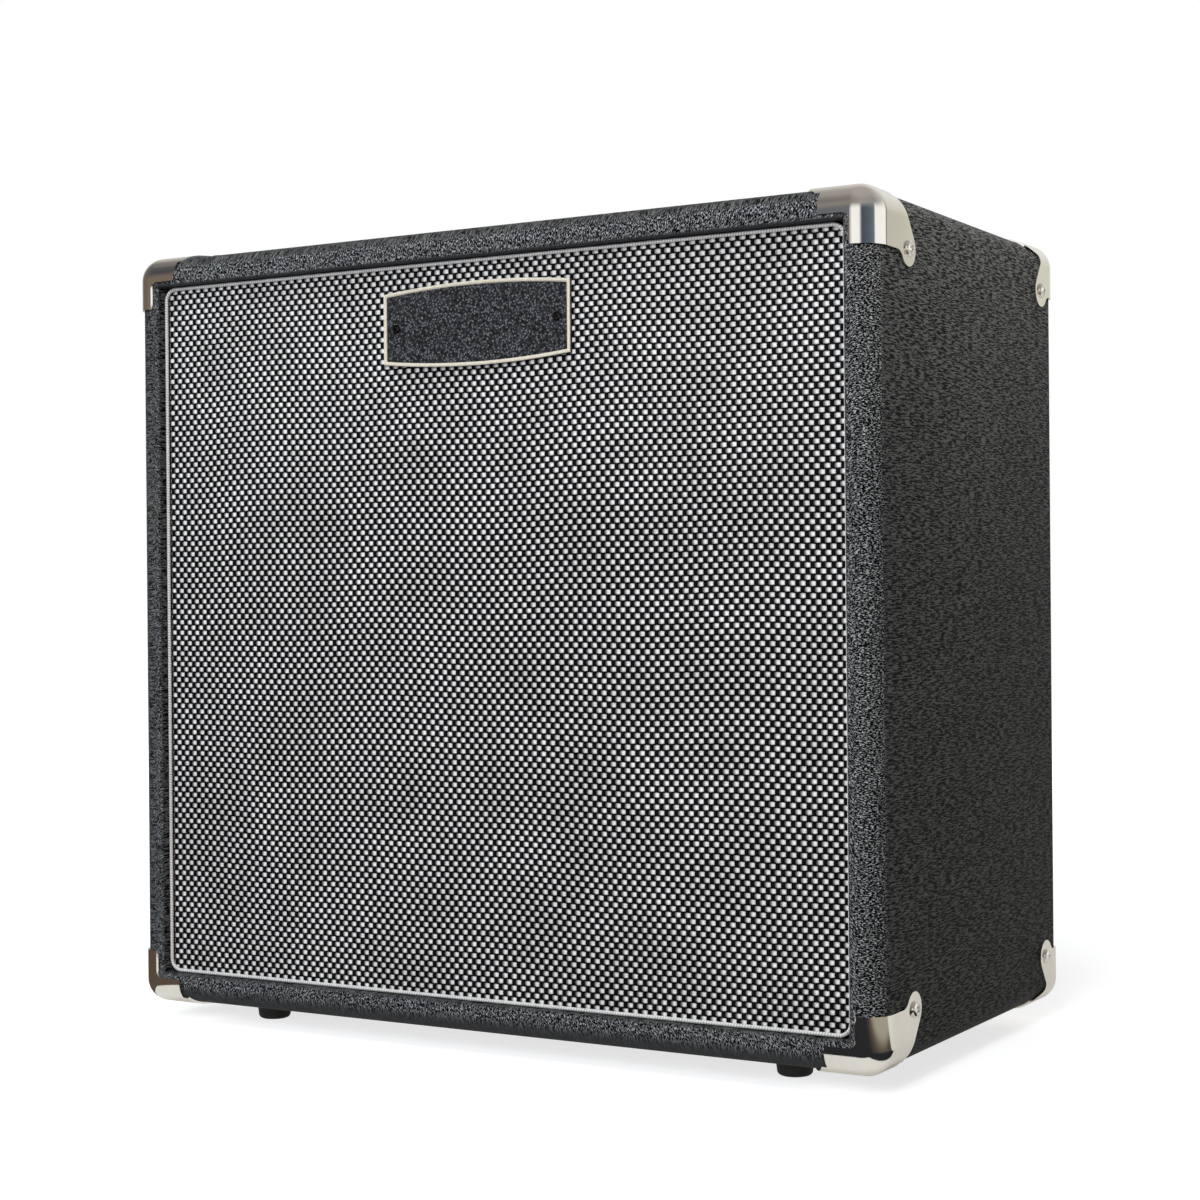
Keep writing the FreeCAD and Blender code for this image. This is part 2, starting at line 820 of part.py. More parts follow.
def corner_protectors():
    ear = Vector(size("ear_along"), size("ear_across"), 0)
    plain = (ear, size("ear_radius"), size("ear_bend"))
    front_shape = pressed_corner(
        ear_outline(*plain, size("ear_seam")),
        ear_outline(*plain, size("ear_seam")),
        lip_outline(),
        (0, 1),
        lip_window(),
    )
    rear_shape = pressed_corner(
        rear_side_outline(),
        ear_outline(*plain, size("rear_ear_seam")),
        back_outline(),
        (1, 0),
    )
    half_turn = FreeCAD.Rotation(ALONG_Y, 180)
    for end, shape, edge, flip in (("front", front_shape, front, 1), ("rear", rear_shape, back, -1)):
        if flip < 0:
            shape = shape.mirror(Vector(), ALONG_Y)
        blank = formed(f"{end}_corner_blank", shape)
        blank.Placement = FreeCAD.Placement(Vector(size(side), size(edge), size(roof)), half_turn)
        top_right = cut(f"corner_{end}_top_right", blank, corner_holes)
        node(top_right, f"corner_{end}_top_right")
        top_left = mirrored(f"corner_{end}_top_left", top_right, ALONG_X)
        node(top_left, f"corner_{end}_top_left")
        for name, source in (("right", top_right), ("left", top_left)):
            low = mirrored(f"corner_{end}_bottom_{name}", source, ALONG_Z, middle)
            node(low, f"corner_{end}_bottom_{name}")


corner_protectors()
corner_screw = screw_seed(
    "corner_screw", "screw_head_radius", "screw_head_height", "screw_radius", "screw_length"
)
node(scatter("corner_screws", corner_screw, corner_spots), "corner_screws")


# rubber feet, each with a well for the head of its screw
def feet():
    bore = "(foot_screw_radius + fit)"
    slope = "((foot_radius - foot_sole_radius) * foot_edge / foot_height)"
    profile = [
        (bore, "foot_height"),
        (bore, "foot_well_depth"),
        ("foot_well_radius", "foot_well_depth"),
        ("foot_well_radius", "0"),
        ("foot_sole_radius - foot_edge", "0"),
        (f"foot_sole_radius + {slope}", "foot_edge", "foot_edge_radius", 1),
        ("foot_radius", "foot_height"),
    ]
    for name, x, y in foot_places():
        body = turned(name, profile)
        across = f"{side} - foot_inset_side"
        along = f"{back} - foot_inset_front"
        place(body, f"-({across})" if x < 0 else across, f"-({along})" if y < 0 else along)
        node(body, name)


feet()
foot_screw = screw_seed(
    "foot_screw", "foot_screw_head_radius", "foot_screw_head_height", "foot_screw_radius", "foot_screw_length"
)
node(scatter("foot_screws", foot_screw, foot_spots), "foot_screws")


# baffle on its battens
def baffle_screw_places():
    y = size(f"{baffle_front} - seat_gap")
    x = size(f"{cavity_side} - batten / 2")
    up = size("baffle_screw_spread_up")
    across = size("baffle_screw_spread_across")
    spots = [(Vector(x, y, size(middle) + offset), -ALONG_Y) for offset in (-up, up)]
    for level in (size(f"{cavity_low} + batten / 2"), size(f"{cavity_high} - batten / 2")):
        spots.append((Vector(across, y, level), -ALONG_Y))
    return at_mirrors(spots)


baffle_spots = baffle_screw_places()
baffle_holes = pilots("baffle_holes", baffle_spots, "screw_radius + fit", "panel_screw_length")


def bolt_places(depth, outward):
    spots = []
    for step in range(int(size("bolt_count"))):
        angle = 2 * math.pi * (step + 0.5) / size("bolt_count")
        x = math.cos(angle) * size(bolt_circle)
        z = size(middle) + math.sin(angle) * size(bolt_circle)
        spots.append((Vector(x, size(f"{baffle_back} + {depth}"), z), outward))
    return spots


def baffle():
    board = block(
        "baffle_blank",
        (f"-({cavity_side} - board_gap)", f"{cavity_side} - board_gap"),
        (baffle_front, baffle_back),
        (f"{cavity_low} + board_gap", f"{cavity_high} - board_gap"),
    )
    opening = rod(
        "baffle_cutout",
        "flange_radius - cutout_overlap",
        "baffle + 2 * overrun",
        y=f"{baffle_front} - overrun",
        z=middle,
        turn=BACKWARD,
    )
    barrels = pilots("barrel_holes", bolt_places("0", ALONG_Y), "tee_barrel_radius + fit", "baffle + overrun")
    holes = fuse("baffle_openings", [opening, barrels, baffle_holes])
    node(cut("baffle_board", board, holes), "baffle_board")
    depth = (baffle_back, f"{baffle_back} + batten")
    inner = f"({cavity_side} - batten)"
    strips = []
    for name, low, high in (("left", f"-{cavity_side}", f"-{inner}"), ("right", inner, cavity_side)):
        strips.append(block(f"baffle_batten_{name}", (low, high), depth, (cavity_low, cavity_high)))
    for name, low, high in (
        ("low", cavity_low, f"{cavity_low} + batten"),
        ("high", f"{cavity_high} - batten", cavity_high),
    ):
        strips.append(block(f"baffle_batten_{name}", (f"-{inner}", inner), depth, (low, high)))
    room = rod(
        "flange_room",
        "flange_radius + board_gap",
        "batten + 2 * overrun",
        y=f"{baffle_back} - overrun",
        z=middle,
        turn=BACKWARD,
    )
    clear = fuse("batten_openings", [baffle_holes, room])
    drilled = [cut(strip.Name + "_drilled", strip, clear) for strip in strips]
    node(group("baffle_battens", drilled), "baffle_battens")


baffle()
panel_screw = screw_seed(
    "panel_screw", "screw_head_radius", "screw_head_height", "screw_radius", "panel_screw_length"
)
node(scatter("baffle_screws", panel_screw, baffle_spots), "baffle_screws")


# grille: a wood frame, cloth stretched over it, piping round its edge, pads that hold it to the baffle
def badge_screw_places():
    y = size(f"{cloth_front} - seat_gap - badge_plate - seat_gap")
    x = size("badge_width / 2 - badge_screw_inset")
    z = size(f"{roof} - badge_drop")
    return at_mirrors([(Vector(x, y, z), -ALONG_Y)])


badge_spots = badge_screw_places()
badge_holes = pilots(
    "badge_holes", badge_spots, "badge_screw_radius + fit", "badge_screw_length + badge_field_depth"
)


def grille():
    depth = (rail_front, pad_front)
    inner_low = f"({frame_low} + rail_width)"
    inner_high = f"({frame_high} - rail_width)"
    inner_side = f"({frame_side} - rail_width)"
    across = (f"-{frame_side}", frame_side)
    top_rail = block("top_rail", across, depth, (inner_high, frame_high))
    low_rail = block("low_rail", across, depth, (frame_low, inner_low))
    half_block = "(badge_block_width / 2)"
    backing = block(
        "badge_block",
        (f"-{half_block}", half_block),
        depth,
        (f"{roof} - badge_drop - badge_block_height / 2", inner_high),
    )
    drilled = [cut(bar.Name + "_drilled", bar, badge_holes) for bar in (top_rail, backing)]
    node(group("grille_rails", drilled + [low_rail]), "grille_rails")
    left = block("left_stile", (f"-{frame_side}", f"-{inner_side}"), depth, (inner_low, inner_high))
    right = block("right_stile", (inner_side, frame_side), depth, (inner_low, inner_high))
    node(group("grille_stiles", [left, right]), "grille_stiles")
    tray = block(
        "cloth_outside",
        (f"-({frame_side} + cloth)", f"{frame_side} + cloth"),
        (cloth_front, pad_front),
        (f"{frame_low} - cloth", f"{frame_high} + cloth"),
    )
    hollow = block(
        "cloth_inside", across, (rail_front, f"{pad_front} + overrun"), (frame_low, frame_high)
    )
    wrapped = cut("cloth_wrapped", tray, hollow)
    node(cut("grille_cloth", wrapped, badge_holes), "grille_cloth")
    pads = []
    half_pad = "pad_length / 2"
    behind = (pad_front, baffle_front)
    for x_sign in ("-", ""):
        spread = f"{x_sign}pad_spread_across"
        for name, level in (
            ("low", f"{frame_low} + rail_width / 2"),
            ("high", f"{frame_high} - rail_width / 2"),
        ):
            z = (f"{level} - pad_width / 2", f"{level} + pad_width / 2")
            x = (f"{spread} - {half_pad}", f"{spread} + {half_pad}")
            pads.append(block(f"pad_{name}{len(pads)}", x, behind, z))
        column = f"{x_sign}({frame_side} - rail_width / 2)"
        for up in ("- pad_spread_up", "+ pad_spread_up"):
            x = (f"{column} - pad_width / 2", f"{column} + pad_width / 2")
            z = (f"{middle} {up} - {half_pad}", f"{middle} {up} + {half_pad}")
            pads.append(block(f"pad_side{len(pads)}", x, behind, z))
    node(group("hook_and_loop_pads", pads), "hook_and_loop_pads")


def piping():
    """A round bead carried along a rectangle with round corners, just inside the mouth."""
    body = new_body("grille_piping")
    inset = "(bead_diameter / 2 + bead_gap)"
    x = f"({mouth_side} - {inset})"
    low = f"({mouth_low} + {inset})"
    high = f"({mouth_high} - {inset})"
    bend = "bead_corner"
    path = new_sketch(body, "XZ_Plane", "piping_path", f"-{bead_y}")
    outline(
        path,
        [
            (x, f"{low} + {bend}"),
            (x, f"{high} - {bend}"),
            (f"{x} - {bend}", high, bend, 1),
            (f"-{x} + {bend}", high),
            (f"-{x}", f"{high} - {bend}", bend, 1),
            (f"-{x}", f"{low} + {bend}"),
            (f"-{x} + {bend}", low, bend, 1),
            (f"{x} - {bend}", low),
            (x, f"{low} + {bend}", bend, 1),
        ][1:],
    )
    ring = new_sketch(body, "XY_Plane", "piping_section", f"{high} - {bend}")
    circle(ring, x, bead_y, "bead_diameter / 2")
    doc.recompute()
    pipe = body.newObject("PartDesign::AdditivePipe", "piping_sweep")
    pipe.Profile = ring
    pipe.Spine = path
    body.Tip = pipe
    node(body, "grille_piping")


def badge():
    """A bare plate with bowed edges: a rim round a sunk field."""
    body = new_body("badge_blank")
    half = "badge_width / 2"
    end = "badge_end_height / 2"
    crown = "((badge_mid_height - badge_end_height) / 2)"
    bow = f"((badge_width / 2)^2 + {crown}^2) / (2 * {crown})"
    level = f"({roof} - badge_drop)"
    plane = f"-({cloth_front} - seat_gap)"
    face = new_sketch(body, "XZ_Plane", "badge_outline", plane)
    outline(
        face,
        [
            (f"-{half}", f"{level} - {end}"),
            (half, f"{level} - {end}", bow, 1),
            (half, f"{level} + {end}"),
            (f"-{half}", f"{level} + {end}", bow, 1),
        ],
    )
    pad(body, face, "badge_plate")
    field = new_sketch(body, "XZ_Plane", "badge_field", f"{plane} + badge_plate - badge_field_depth")
    inner_half = f"({half} - badge_rim)"
    inner_end = f"({end} - badge_rim)"
    outline(
        field,
        [
            (f"-{inner_half}", f"{level} - {inner_end}"),
            (inner_half, f"{level} - {inner_end}", bow, 1),
            (inner_half, f"{level} + {inner_end}"),
            (f"-{inner_half}", f"{level} + {inner_end}", bow, 1),
        ],
    )
    sunk = body.newObject("PartDesign::Pocket", "badge_sunk")
    sunk.Profile = field
    sunk.Reversed = True
    bind(sunk, Length="badge_field_depth + overrun")
    body.Tip = sunk
    node(cut("badge_drilled", body, badge_holes), "badge_plate")


grille()
piping()
badge()
badge_screw = screw_seed(
    "badge_screw",
    "badge_screw_head_radius",
    "badge_screw_head_height",
    "badge_screw_radius",
    "badge_screw_length",
)
field_drop = Vector(0, size("badge_field_depth"), 0)
node(scatter("badge_screws", badge_screw, [(p + field_drop, way) for p, way in badge_spots]), "badge_screws")


# speaker: pressed basket, magnet, and the moving cone with its surround and spider
def basket():
    lean = "wall_lean_share * basket_sheet"
    profile = [
        ("flange_radius", "gasket"),
        ("flange_radius", "gasket + basket_sheet"),
        (f"{throat} + {lean}", "gasket + basket_sheet"),
        (f"ledge_radius + {lean}", "ledge_depth + basket_sheet"),
        (f"{ledge_inner} + basket_sheet", "ledge_depth + basket_sheet"),
        (f"{floor_radius} + basket_sheet", plate_front),
        (f"{floor_radius} - floor_width", plate_front),
        (f"{floor_radius} - floor_width", floor_depth),
        (floor_radius, floor_depth),
        (ledge_inner, "ledge_depth"),
        ("ledge_radius", "ledge_depth"),
        (throat, "gasket"),
    ]
    body = on_speaker_axis("basket_blank", profile)
    window = new_sketch(body, "XY_Plane", "basket_window")
    half = math.radians(size("window_half_angle"))
    turn = math.pi / size("bolt_count")
    near, far = size(window_inner), size(window_outer)
    draw_window(window, near, far, turn - half, turn + half)
    opening = pocket(body, window)
    pattern = body.newObject("PartDesign::PolarPattern", "basket_windows")
    pattern.Originals = [opening]
    pattern.Axis = (window, ["N_Axis"])
    pattern.Angle = 360
    bind(pattern, Occurrences="bolt_count")
    body.Tip = pattern
    bolt_holes = pilots(
        "flange_holes", bolt_places("gasket + basket_sheet", ALONG_Y), "bolt_radius + fit", "bolt_length"
    )
    node(cut("basket_drilled", body, bolt_holes), "speaker_basket")
    ring = on_speaker_axis(
        "gasket_blank",
        [
            (gasket_inner, "0"),
            ("flange_radius", "0"),
            ("flange_radius", "gasket"),
            (gasket_inner, "gasket"),
        ],
    )
    node(cut("gasket_drilled", ring, bolt_holes), "speaker_gasket")


def draw_window(sketch, near, far, start, end):
    """A window between two radii and two angles."""
    origin = Vector()
    inner = sketch.addGeometry(Part.ArcOfCircle(Part.Circle(origin, ALONG_Z, near), start, end))
    outer = sketch.addGeometry(Part.ArcOfCircle(Part.Circle(origin, ALONG_Z, far), start, end))
    for edge, text in ((inner, window_inner), (outer, window_outer)):
        sketch.addConstraint(Sketcher.Constraint("Coincident", edge, 3, -1, 1))
        index = sketch.addConstraint(Sketcher.Constraint("Radius", edge, size(text)))
        sketch.setExpression(f"Constraints[{index}]", formula(text))
    turn = "180 / bolt_count"
    for point, angle, text in (
        (1, start, f"{turn} - window_half_angle"),
        (2, end, f"{turn} + window_half_angle"),
    ):
        way = Vector(math.cos(angle), math.sin(angle), 0)
        spoke = sketch.addGeometry(Part.LineSegment(way * near, way * far))
        sketch.addConstraint(Sketcher.Constraint("Coincident", spoke, 1, inner, point))
        sketch.addConstraint(Sketcher.Constraint("Coincident", spoke, 2, outer, point))
        index = sketch.addConstraint(Sketcher.Constraint("Angle", -1, 1, spoke, 1, angle))
        sketch.setExpression(f"Constraints[{index}]", formula(text))
        sketch.addConstraint(Sketcher.Constraint("PointOnObject", -1, 1, spoke))


def pleated(name, outer, outer_depth, inner, inner_depth, pleats, rise, thick):
    """A thin ring folded into pleats between an outer and an inner flat, turned about the speaker's axis."""
    front_line = [(outer[0], outer_depth), (outer[1], outer_depth)]
    for step in range(1, pleats * 2):
        share = f"({step} / {pleats * 2})"
        radius = f"{outer[1]} + ({inner[1]} - ({outer[1]})) * {share}"
        level = f"{outer_depth} + ({inner_depth} - ({outer_depth})) * {share}"
        front_line.append((radius, f"{level} - {rise} / 2" if step % 2 else f"{level} + {rise} / 2"))
    front_line += [(inner[1], inner_depth), (inner[0], inner_depth)]
    back_line = [(radius, f"{level} + {thick}") for radius, level in reversed(front_line)]
    return node(on_speaker_axis(name, front_line + back_line), name)


def speaker_motor():
    gap_wall = "former_radius + coil_wire + coil_gap"
    pole = "former_radius - former_wall - pole_gap"
    plate_back = f"({plate_front} + top_plate)"
    magnet_back = f"({plate_back} + magnet)"
    ring = [
        (gap_wall, plate_front),
        ("top_plate_radius", plate_front),
        ("top_plate_radius", plate_back),
        (gap_wall, plate_back),
    ]
    node(on_speaker_axis("magnet_top_plate", ring), "magnet_top_plate")
    ferrite = [
        ("magnet_bore", plate_back),
        ("magnet_radius", plate_back),
        ("magnet_radius", magnet_back),
        ("magnet_bore", magnet_back),
    ]
    node(on_speaker_axis("magnet_ring", ferrite), "magnet_ring")
    yoke = [
        ("vent_radius", plate_front),
        (pole, plate_front),
        (pole, magnet_back),
        ("yoke_radius", magnet_back),
        ("yoke_radius", f"{magnet_back} + yoke_plate"),
        ("vent_radius", f"{magnet_back} + yoke_plate"),
    ]
    node(on_speaker_axis("magnet_yoke", yoke), "magnet_yoke")


def moving_cone():
    neck = "(former_radius + fit)"
    paper = [
        (cone_rim, "cone_rim_depth"),
        (cone_rim, "cone_rim_depth + cone_paper"),
        (cone_rim_inner, "cone_rim_depth + cone_paper"),
        (neck, f"{neck_depth} + cone_paper"),
        (neck, neck_depth),
        (cone_rim_inner, "cone_rim_depth"),
    ]
    node(on_speaker_axis("cone", paper), "cone")
    cap_radius = "(former_radius + cap_margin)"
    seat = f"({neck_depth} - ({cap_radius} - {neck}) * {cone_slope} - seat_gap)"
    dome = f"(({cap_radius}^2 + cap_height^2) / (2 * cap_height))"
    hollow_radius = f"({cap_radius} - cap_paper)"
    hollow_height = "(cap_height - cap_paper)"
    hollow = f"(({hollow_radius}^2 + {hollow_height}^2) / (2 * {hollow_height}))"
    cap = [
        ("0", f"{seat} - cap_height"),
        (cap_radius, seat, dome, 1),
        (hollow_radius, seat),
        ("0", f"{seat} - {hollow_height}", hollow, -1),
    ]
    node(on_speaker_axis("dust_cap", cap), "dust_cap")
    tube = [
        ("former_radius - former_wall", neck_depth),
        ("former_radius", neck_depth),
        ("former_radius", former_end),
        ("former_radius - former_wall", former_end),
    ]
    node(on_speaker_axis("voice_coil_former", tube), "voice_coil_former")
    winding = [
        ("former_radius + seat_gap", coil_front),
        ("former_radius + coil_wire", coil_front),
        ("former_radius + coil_wire", f"{coil_front} + coil_length"),
        ("former_radius + seat_gap", f"{coil_front} + coil_length"),
    ]
    node(on_speaker_axis("voice_coil", winding), "voice_coil")
    pleated(
        "surround",
        (surround_rim, throat),
        "gasket - surround_sheet",
        (f"{cone_rim_inner} + fit", cone_rim),
        "cone_rim_depth - surround_sheet - seat_gap",
        2,
        "surround_pleat",
        "surround_sheet",
    )
    pleated(
        "spider",
        ("ledge_radius - fit", ledge_inner),
        "ledge_depth - spider_sheet",
        ("former_radius + fit", "former_radius + spider_pleat"),
        "ledge_depth - spider_sheet",
        6,
        "spider_pleat",
        "spider_sheet",
    )


def speaker_bolts():
    bolt = screw_seed("speaker_bolt", "bolt_head_radius", "bolt_head_height", "bolt_radius", "bolt_length")
    spots = bolt_places("gasket + basket_sheet + seat_gap", ALONG_Y)
    node(scatter("speaker_bolts", bolt, spots), "speaker_bolts")
    bore = "(bolt_radius + fit)"
    nut = turned(
        "tee_nut",
        [
            (bore, "tee_flange"),
            (bore, "-tee_barrel"),
            ("tee_barrel_radius", "-tee_barrel"),
            ("tee_barrel_radius", "0"),
            ("tee_flange_radius", "0"),
            ("tee_flange_radius", "tee_flange"),
        ],
    )
    seats = bolt_places("0 - baffle", -ALONG_Y)
    node(scatter("speaker_tee_nuts", nut, seats), "speaker_tee_nuts")


def wall_frame():
    """Middle of the basket's lowest rib, beside the windows, and the wall's outward direction there."""
    run = size(f"{throat} - ledge_radius")
    fall = size("ledge_depth - gasket")
    length = math.hypot(run, fall)
    outward = Vector(0, run / length, -fall / length)
    radius = size(f"({window_outer} + {window_inner}) / 2")
    depth = size("gasket + basket_sheet") + (size(throat) - radius) * fall / run
    lean = size("wall_lean_share * basket_sheet")
    return Vector(0, size(baffle_back) + depth, size(middle) - radius - lean), outward


def terminal():
    """A fibre board riveted to the basket's lowest rib, with two solder lugs."""
    spot, outward = wall_frame()
    width, length, thick = size("terminal_width"), size("terminal_length"), size("terminal_plate")
    shapes = [Part.makeBox(width, length, thick, Vector(-width / 2, -length / 2, 0))]
    lug_width, lug_sheet = size("lug_width"), size("lug_sheet")
    for sign in (-1, 1):
        x = sign * size("lug_spacing") / 2 - lug_width / 2
        corner = Vector(x, -lug_sheet / 2, thick)
        shapes.append(Part.makeBox(lug_width, lug_sheet, size("lug_length"), corner))
    item = formed("terminal_board", shapes[0].fuse(shapes[1:]))
    turn = FreeCAD.Rotation(ALONG_X, math.degrees(math.atan2(-outward.y, outward.z)))
    item.Placement = FreeCAD.Placement(spot + outward * size("fit"), turn)
    return node(item, "terminal_board")


basket()
speaker_motor()
moving_cone()
speaker_bolts()
terminal()


# wiring: each lead is straight runs joined by tangent arcs
def lead_path(points):
    edges = []
    radii = []
    at = points[0]
    for before, corner, after in zip(points, points[1:], points[2:]):
        arriving, leaving = corner - before, after - corner
        reach = bend_share * min(arriving.Length, leaving.Length)
        arriving.normalize()
        leaving.normalize()
        start, end = corner - arriving * reach, corner + leaving * reach
        half_turn = arriving.getAngle(leaving) / 2
        radius = reach / math.tan(half_turn)
        inward = leaving - arriving
        inward.normalize()
        middle_point = corner + inward * (radius / math.cos(half_turn) - radius)
        edges.append(Part.LineSegment(at, start).toShape())
        edges.append(Part.Arc(start, middle_point, end).toShape())
        radii.append(round(radius, 1))
        at = end
    edges.append(Part.LineSegment(at, points[-1]).toShape())
    return Part.Wire(edges), radii


def tube(name, points, diameter):
    wire, radii = lead_path(points)
    way = points[1] - points[0]
    ring = Part.Wire(Part.Circle(points[0], way, size(diameter) / 2).toShape())
    solid = wire.makePipeShell([ring], True, False)
    expected = math.pi * size(diameter) ** 2 / 4 * wire.Length
    print(name, "bend radii", radii, "volume against section times length", round(solid.Volume / expected, 4))
    return solid


def lug_tip(sign):
    spot, outward = wall_frame()
    reach = size("fit + terminal_plate + lug_length + lead_gap")
    return spot + outward * reach + ALONG_X * (sign * size("lug_spacing") / 2), outward


def jack_tag(sign):
    """Where a lead meets the jack's body, on its front face."""
    x = -size("jack_offset") + sign * size("jack_tag_spacing") / 2
    y = size(f"{panel_front} - jack_body_depth - fit")
    return Vector(x, y, size(f"{mouth_low} + board_gap + back_panel_height / 2"))


# routes of the two speaker leads between the lugs and the jack, chosen by hand
red_route = [(8, -32, 83), (2, -8, 59), (-18, 14, 42), (-50, 26, 36), (-82, 34, 44), (-104, 42, 66)]
black_route = [(-10, -34, 80), (-22, -12, 52), (-46, 4, 36), (-78, 10, 32), (-108, 18, 42), (-122, 34, 66)]


def wiring():
    for name, sign, route in (("speaker_lead_red", 1, red_route), ("speaker_lead_black", -1, black_route)):
        start, outward = lug_tip(sign)
        end = jack_tag(sign)
        lead_out = end - ALONG_Y * size("jack_body_depth")
        points = [start] + [Vector(*point) for point in route] + [lead_out, end]
        node(formed(name, tube(name, points, "lead_diameter")), name)
    spot, outward = wall_frame()
    leads = []
    for sign in (-1, 1):
        edge = size("terminal_width") / 2 + size("seat_gap")
        start = spot + outward * size("fit + terminal_plate / 2") + ALONG_X * (sign * edge)
        radius = size(f"(ledge_radius + {floor_radius}) / 2")
        slope = size(cone_slope)
        depth = size(f"{neck_depth} + cone_paper") - (radius - size("former_radius + fit")) * slope
        clear = size("tinsel_diameter / 2 + cone_paper")
        end = Vector(sign * edge, size(baffle_back) + depth + clear, size(middle) - radius)
        beyond = start + ALONG_X * (sign * edge)
        lean = sign * edge * tinsel_lean_share
        above = end + Vector(lean, size("tinsel_loop"), -size("terminal_length / 2"))
        leads.append(tube("tinsel", [start, beyond, above, end], "tinsel_diameter"))
    node(formed("tinsel_leads", Part.makeCompound(leads)), "tinsel_leads")


wiring()


# back: two panels with a wide gap between them, on battens
def panel_levels():
    lower = (f"({mouth_low} + board_gap)", f"({mouth_low} + board_gap + back_panel_height)")
    upper = (f"({mouth_high} - board_gap - back_panel_height)", f"({mouth_high} - board_gap)")
    return (("lower", lower), ("upper", upper))


def back_screw_places():
    y = size(f"{panel_back} + vinyl + seat_gap")
    x = size(f"{cavity_side} - batten / 2")
    across, up = size("back_screw_spread_across"), size("back_screw_spread_up")
    spots = []
    for name, (low, high) in panel_levels():
        level = size(f"({low} + {high}) / 2")
        spots += [(Vector(x, y, level + offset), ALONG_Y) for offset in (-up, up)]
    for level in (f"{cavity_low} + batten / 2", f"{cavity_high} - batten / 2"):
        spots.append((Vector(across, y, size(level)), ALONG_Y))
    return at_mirrors(spots)


def back_panels():
    spots = back_screw_places()
    holes = pilots("back_holes", spots, "screw_radius + fit", "panel_screw_length")
    jack_level = f"({mouth_low} + board_gap + back_panel_height / 2)"
    jack_hole = rod(
        "jack_hole",
        "jack_bush_radius + fit",
        "back_panel + vinyl + 2 * overrun",
        "-jack_offset",
        f"{panel_front} - overrun",
        jack_level,
        BACKWARD,
    )
    openings = fuse("back_openings", [holes, jack_hole])
    across = (f"-({mouth_side} - board_gap)", f"{mouth_side} - board_gap")
    skins = []
    battens = []
    depth = (f"{panel_front} - batten", panel_front)
    inner = f"({cavity_side} - batten)"
    for name, (low, high) in panel_levels():
        board = block(f"{name}_board", across, (panel_front, panel_back), (low, high))
        node(cut(f"{name}_panel_drilled", board, openings), f"{name}_back_panel")
        skin = block(f"{name}_skin", across, (panel_back, f"{panel_back} + vinyl"), (low, high))
        skins.append(cut(f"{name}_skin_drilled", skin, openings))
        level = (cavity_low, high) if name == "lower" else (low, cavity_high)
        battens.append(block(f"{name}_batten_right", (inner, cavity_side), depth, level))
        battens.append(block(f"{name}_batten_left", (f"-{cavity_side}", f"-{inner}"), depth, level))
        edge = (cavity_low, f"{cavity_low} + batten")
        if name == "upper":
            edge = (f"{cavity_high} - batten", cavity_high)
        battens.append(block(f"{name}_batten_level", (f"-{inner}", inner), depth, edge))
    node(group("back_panel_vinyl", skins), "back_panel_vinyl")
    drilled = [cut(strip.Name + "_drilled", strip, holes) for strip in battens]
    node(group("back_battens", drilled), "back_battens")
    node(scatter("back_panel_screws", panel_screw, spots), "back_panel_screws")
    jack(jack_level)


def jack(level):
    """A socket whose bush passes through the lower panel, held by a washer and a nut."""
    face = f"({panel_back} + vinyl)"
    half = "(jack_body_width / 2)"
    body = block(
        "jack_body",
        (f"-jack_offset - {half}", f"-jack_offset + {half}"),
        (f"{panel_front} - jack_body_depth", panel_front),
        (f"{level} - jack_body_height / 2", f"{level} + jack_body_height / 2"),
    )
    end = f"({face} + jack_bush_proud)"
    bush = rod(
        "jack_bush",
        "jack_bush_radius",
        f"{end} - ({panel_front} - overrun)",
        "-jack_offset",
        f"{panel_front} - overrun",
        level,
        BACKWARD,
    )
    bore = rod(
        "jack_bore",
        "jack_bore",
        f"{end} + overrun - ({panel_front} - jack_body_depth + jack_end_wall)",
        "-jack_offset",
        f"{panel_front} - jack_body_depth + jack_end_wall",
        level,
        BACKWARD,
    )
    node(cut("jack_socket", fuse("jack_whole", [body, bush]), bore), "jack_socket")
    clear = rod(
        "nut_bore",
        "jack_bush_radius + fit",
        "washer + nut + 2 * overrun",
        "-jack_offset",
        f"{face} - overrun",
        level,
        BACKWARD,
    )
    ring = rod("washer", "washer_radius", "washer", "-jack_offset", face, level, BACKWARD)
    hexagon = doc.addObject("Part::Prism", "hexagon")
    hexagon.Polygon = 6
    bind(hexagon, Circumradius="nut_radius", Height="nut")
    hexagon.Placement = FreeCAD.Placement(Vector(), BACKWARD)
    place(hexagon, "-jack_offset", f"{face} + washer", level)
    rings = [cut("washer_bored", ring, clear), cut("nut_bored", hexagon, clear)]
    node(group("jack_nut", rings), "jack_nut")


back_panels()


# strap handle: a spring strip that slides in two end caps, with a moulded grip round its middle
def arch(body, name, half_length, low, high, width):
    """A curved bar across the width: two arcs about one centre, carried through the depth."""
    sketch = new_sketch(body, "XZ_Plane", name, f"-({width}) / 2")
    chord = "(handle_span / 2 - cap_length / 2)"
    bow = f"(({chord}^2 + strip_rise^2) / (2 * strip_rise))"
    crown = f"({roof} + strip_lift + strip_rise)"
    centre = f"({crown} - {bow})"
    ends = []
    for offset in (low, high):
        radius = f"({bow} + {offset})"
        ends.append((radius, f"{centre} + sqrt({radius}^2 - ({half_length})^2)"))
    (inner, inner_end), (outer, outer_end) = ends
    outline(
        sketch,
        [
            (f"-({half_length})", inner_end),
            (half_length, inner_end, inner, -1),
            (half_length, outer_end),
            (f"-({half_length})", outer_end, outer, 1),
        ],
    )
    return pad(body, sketch, width)


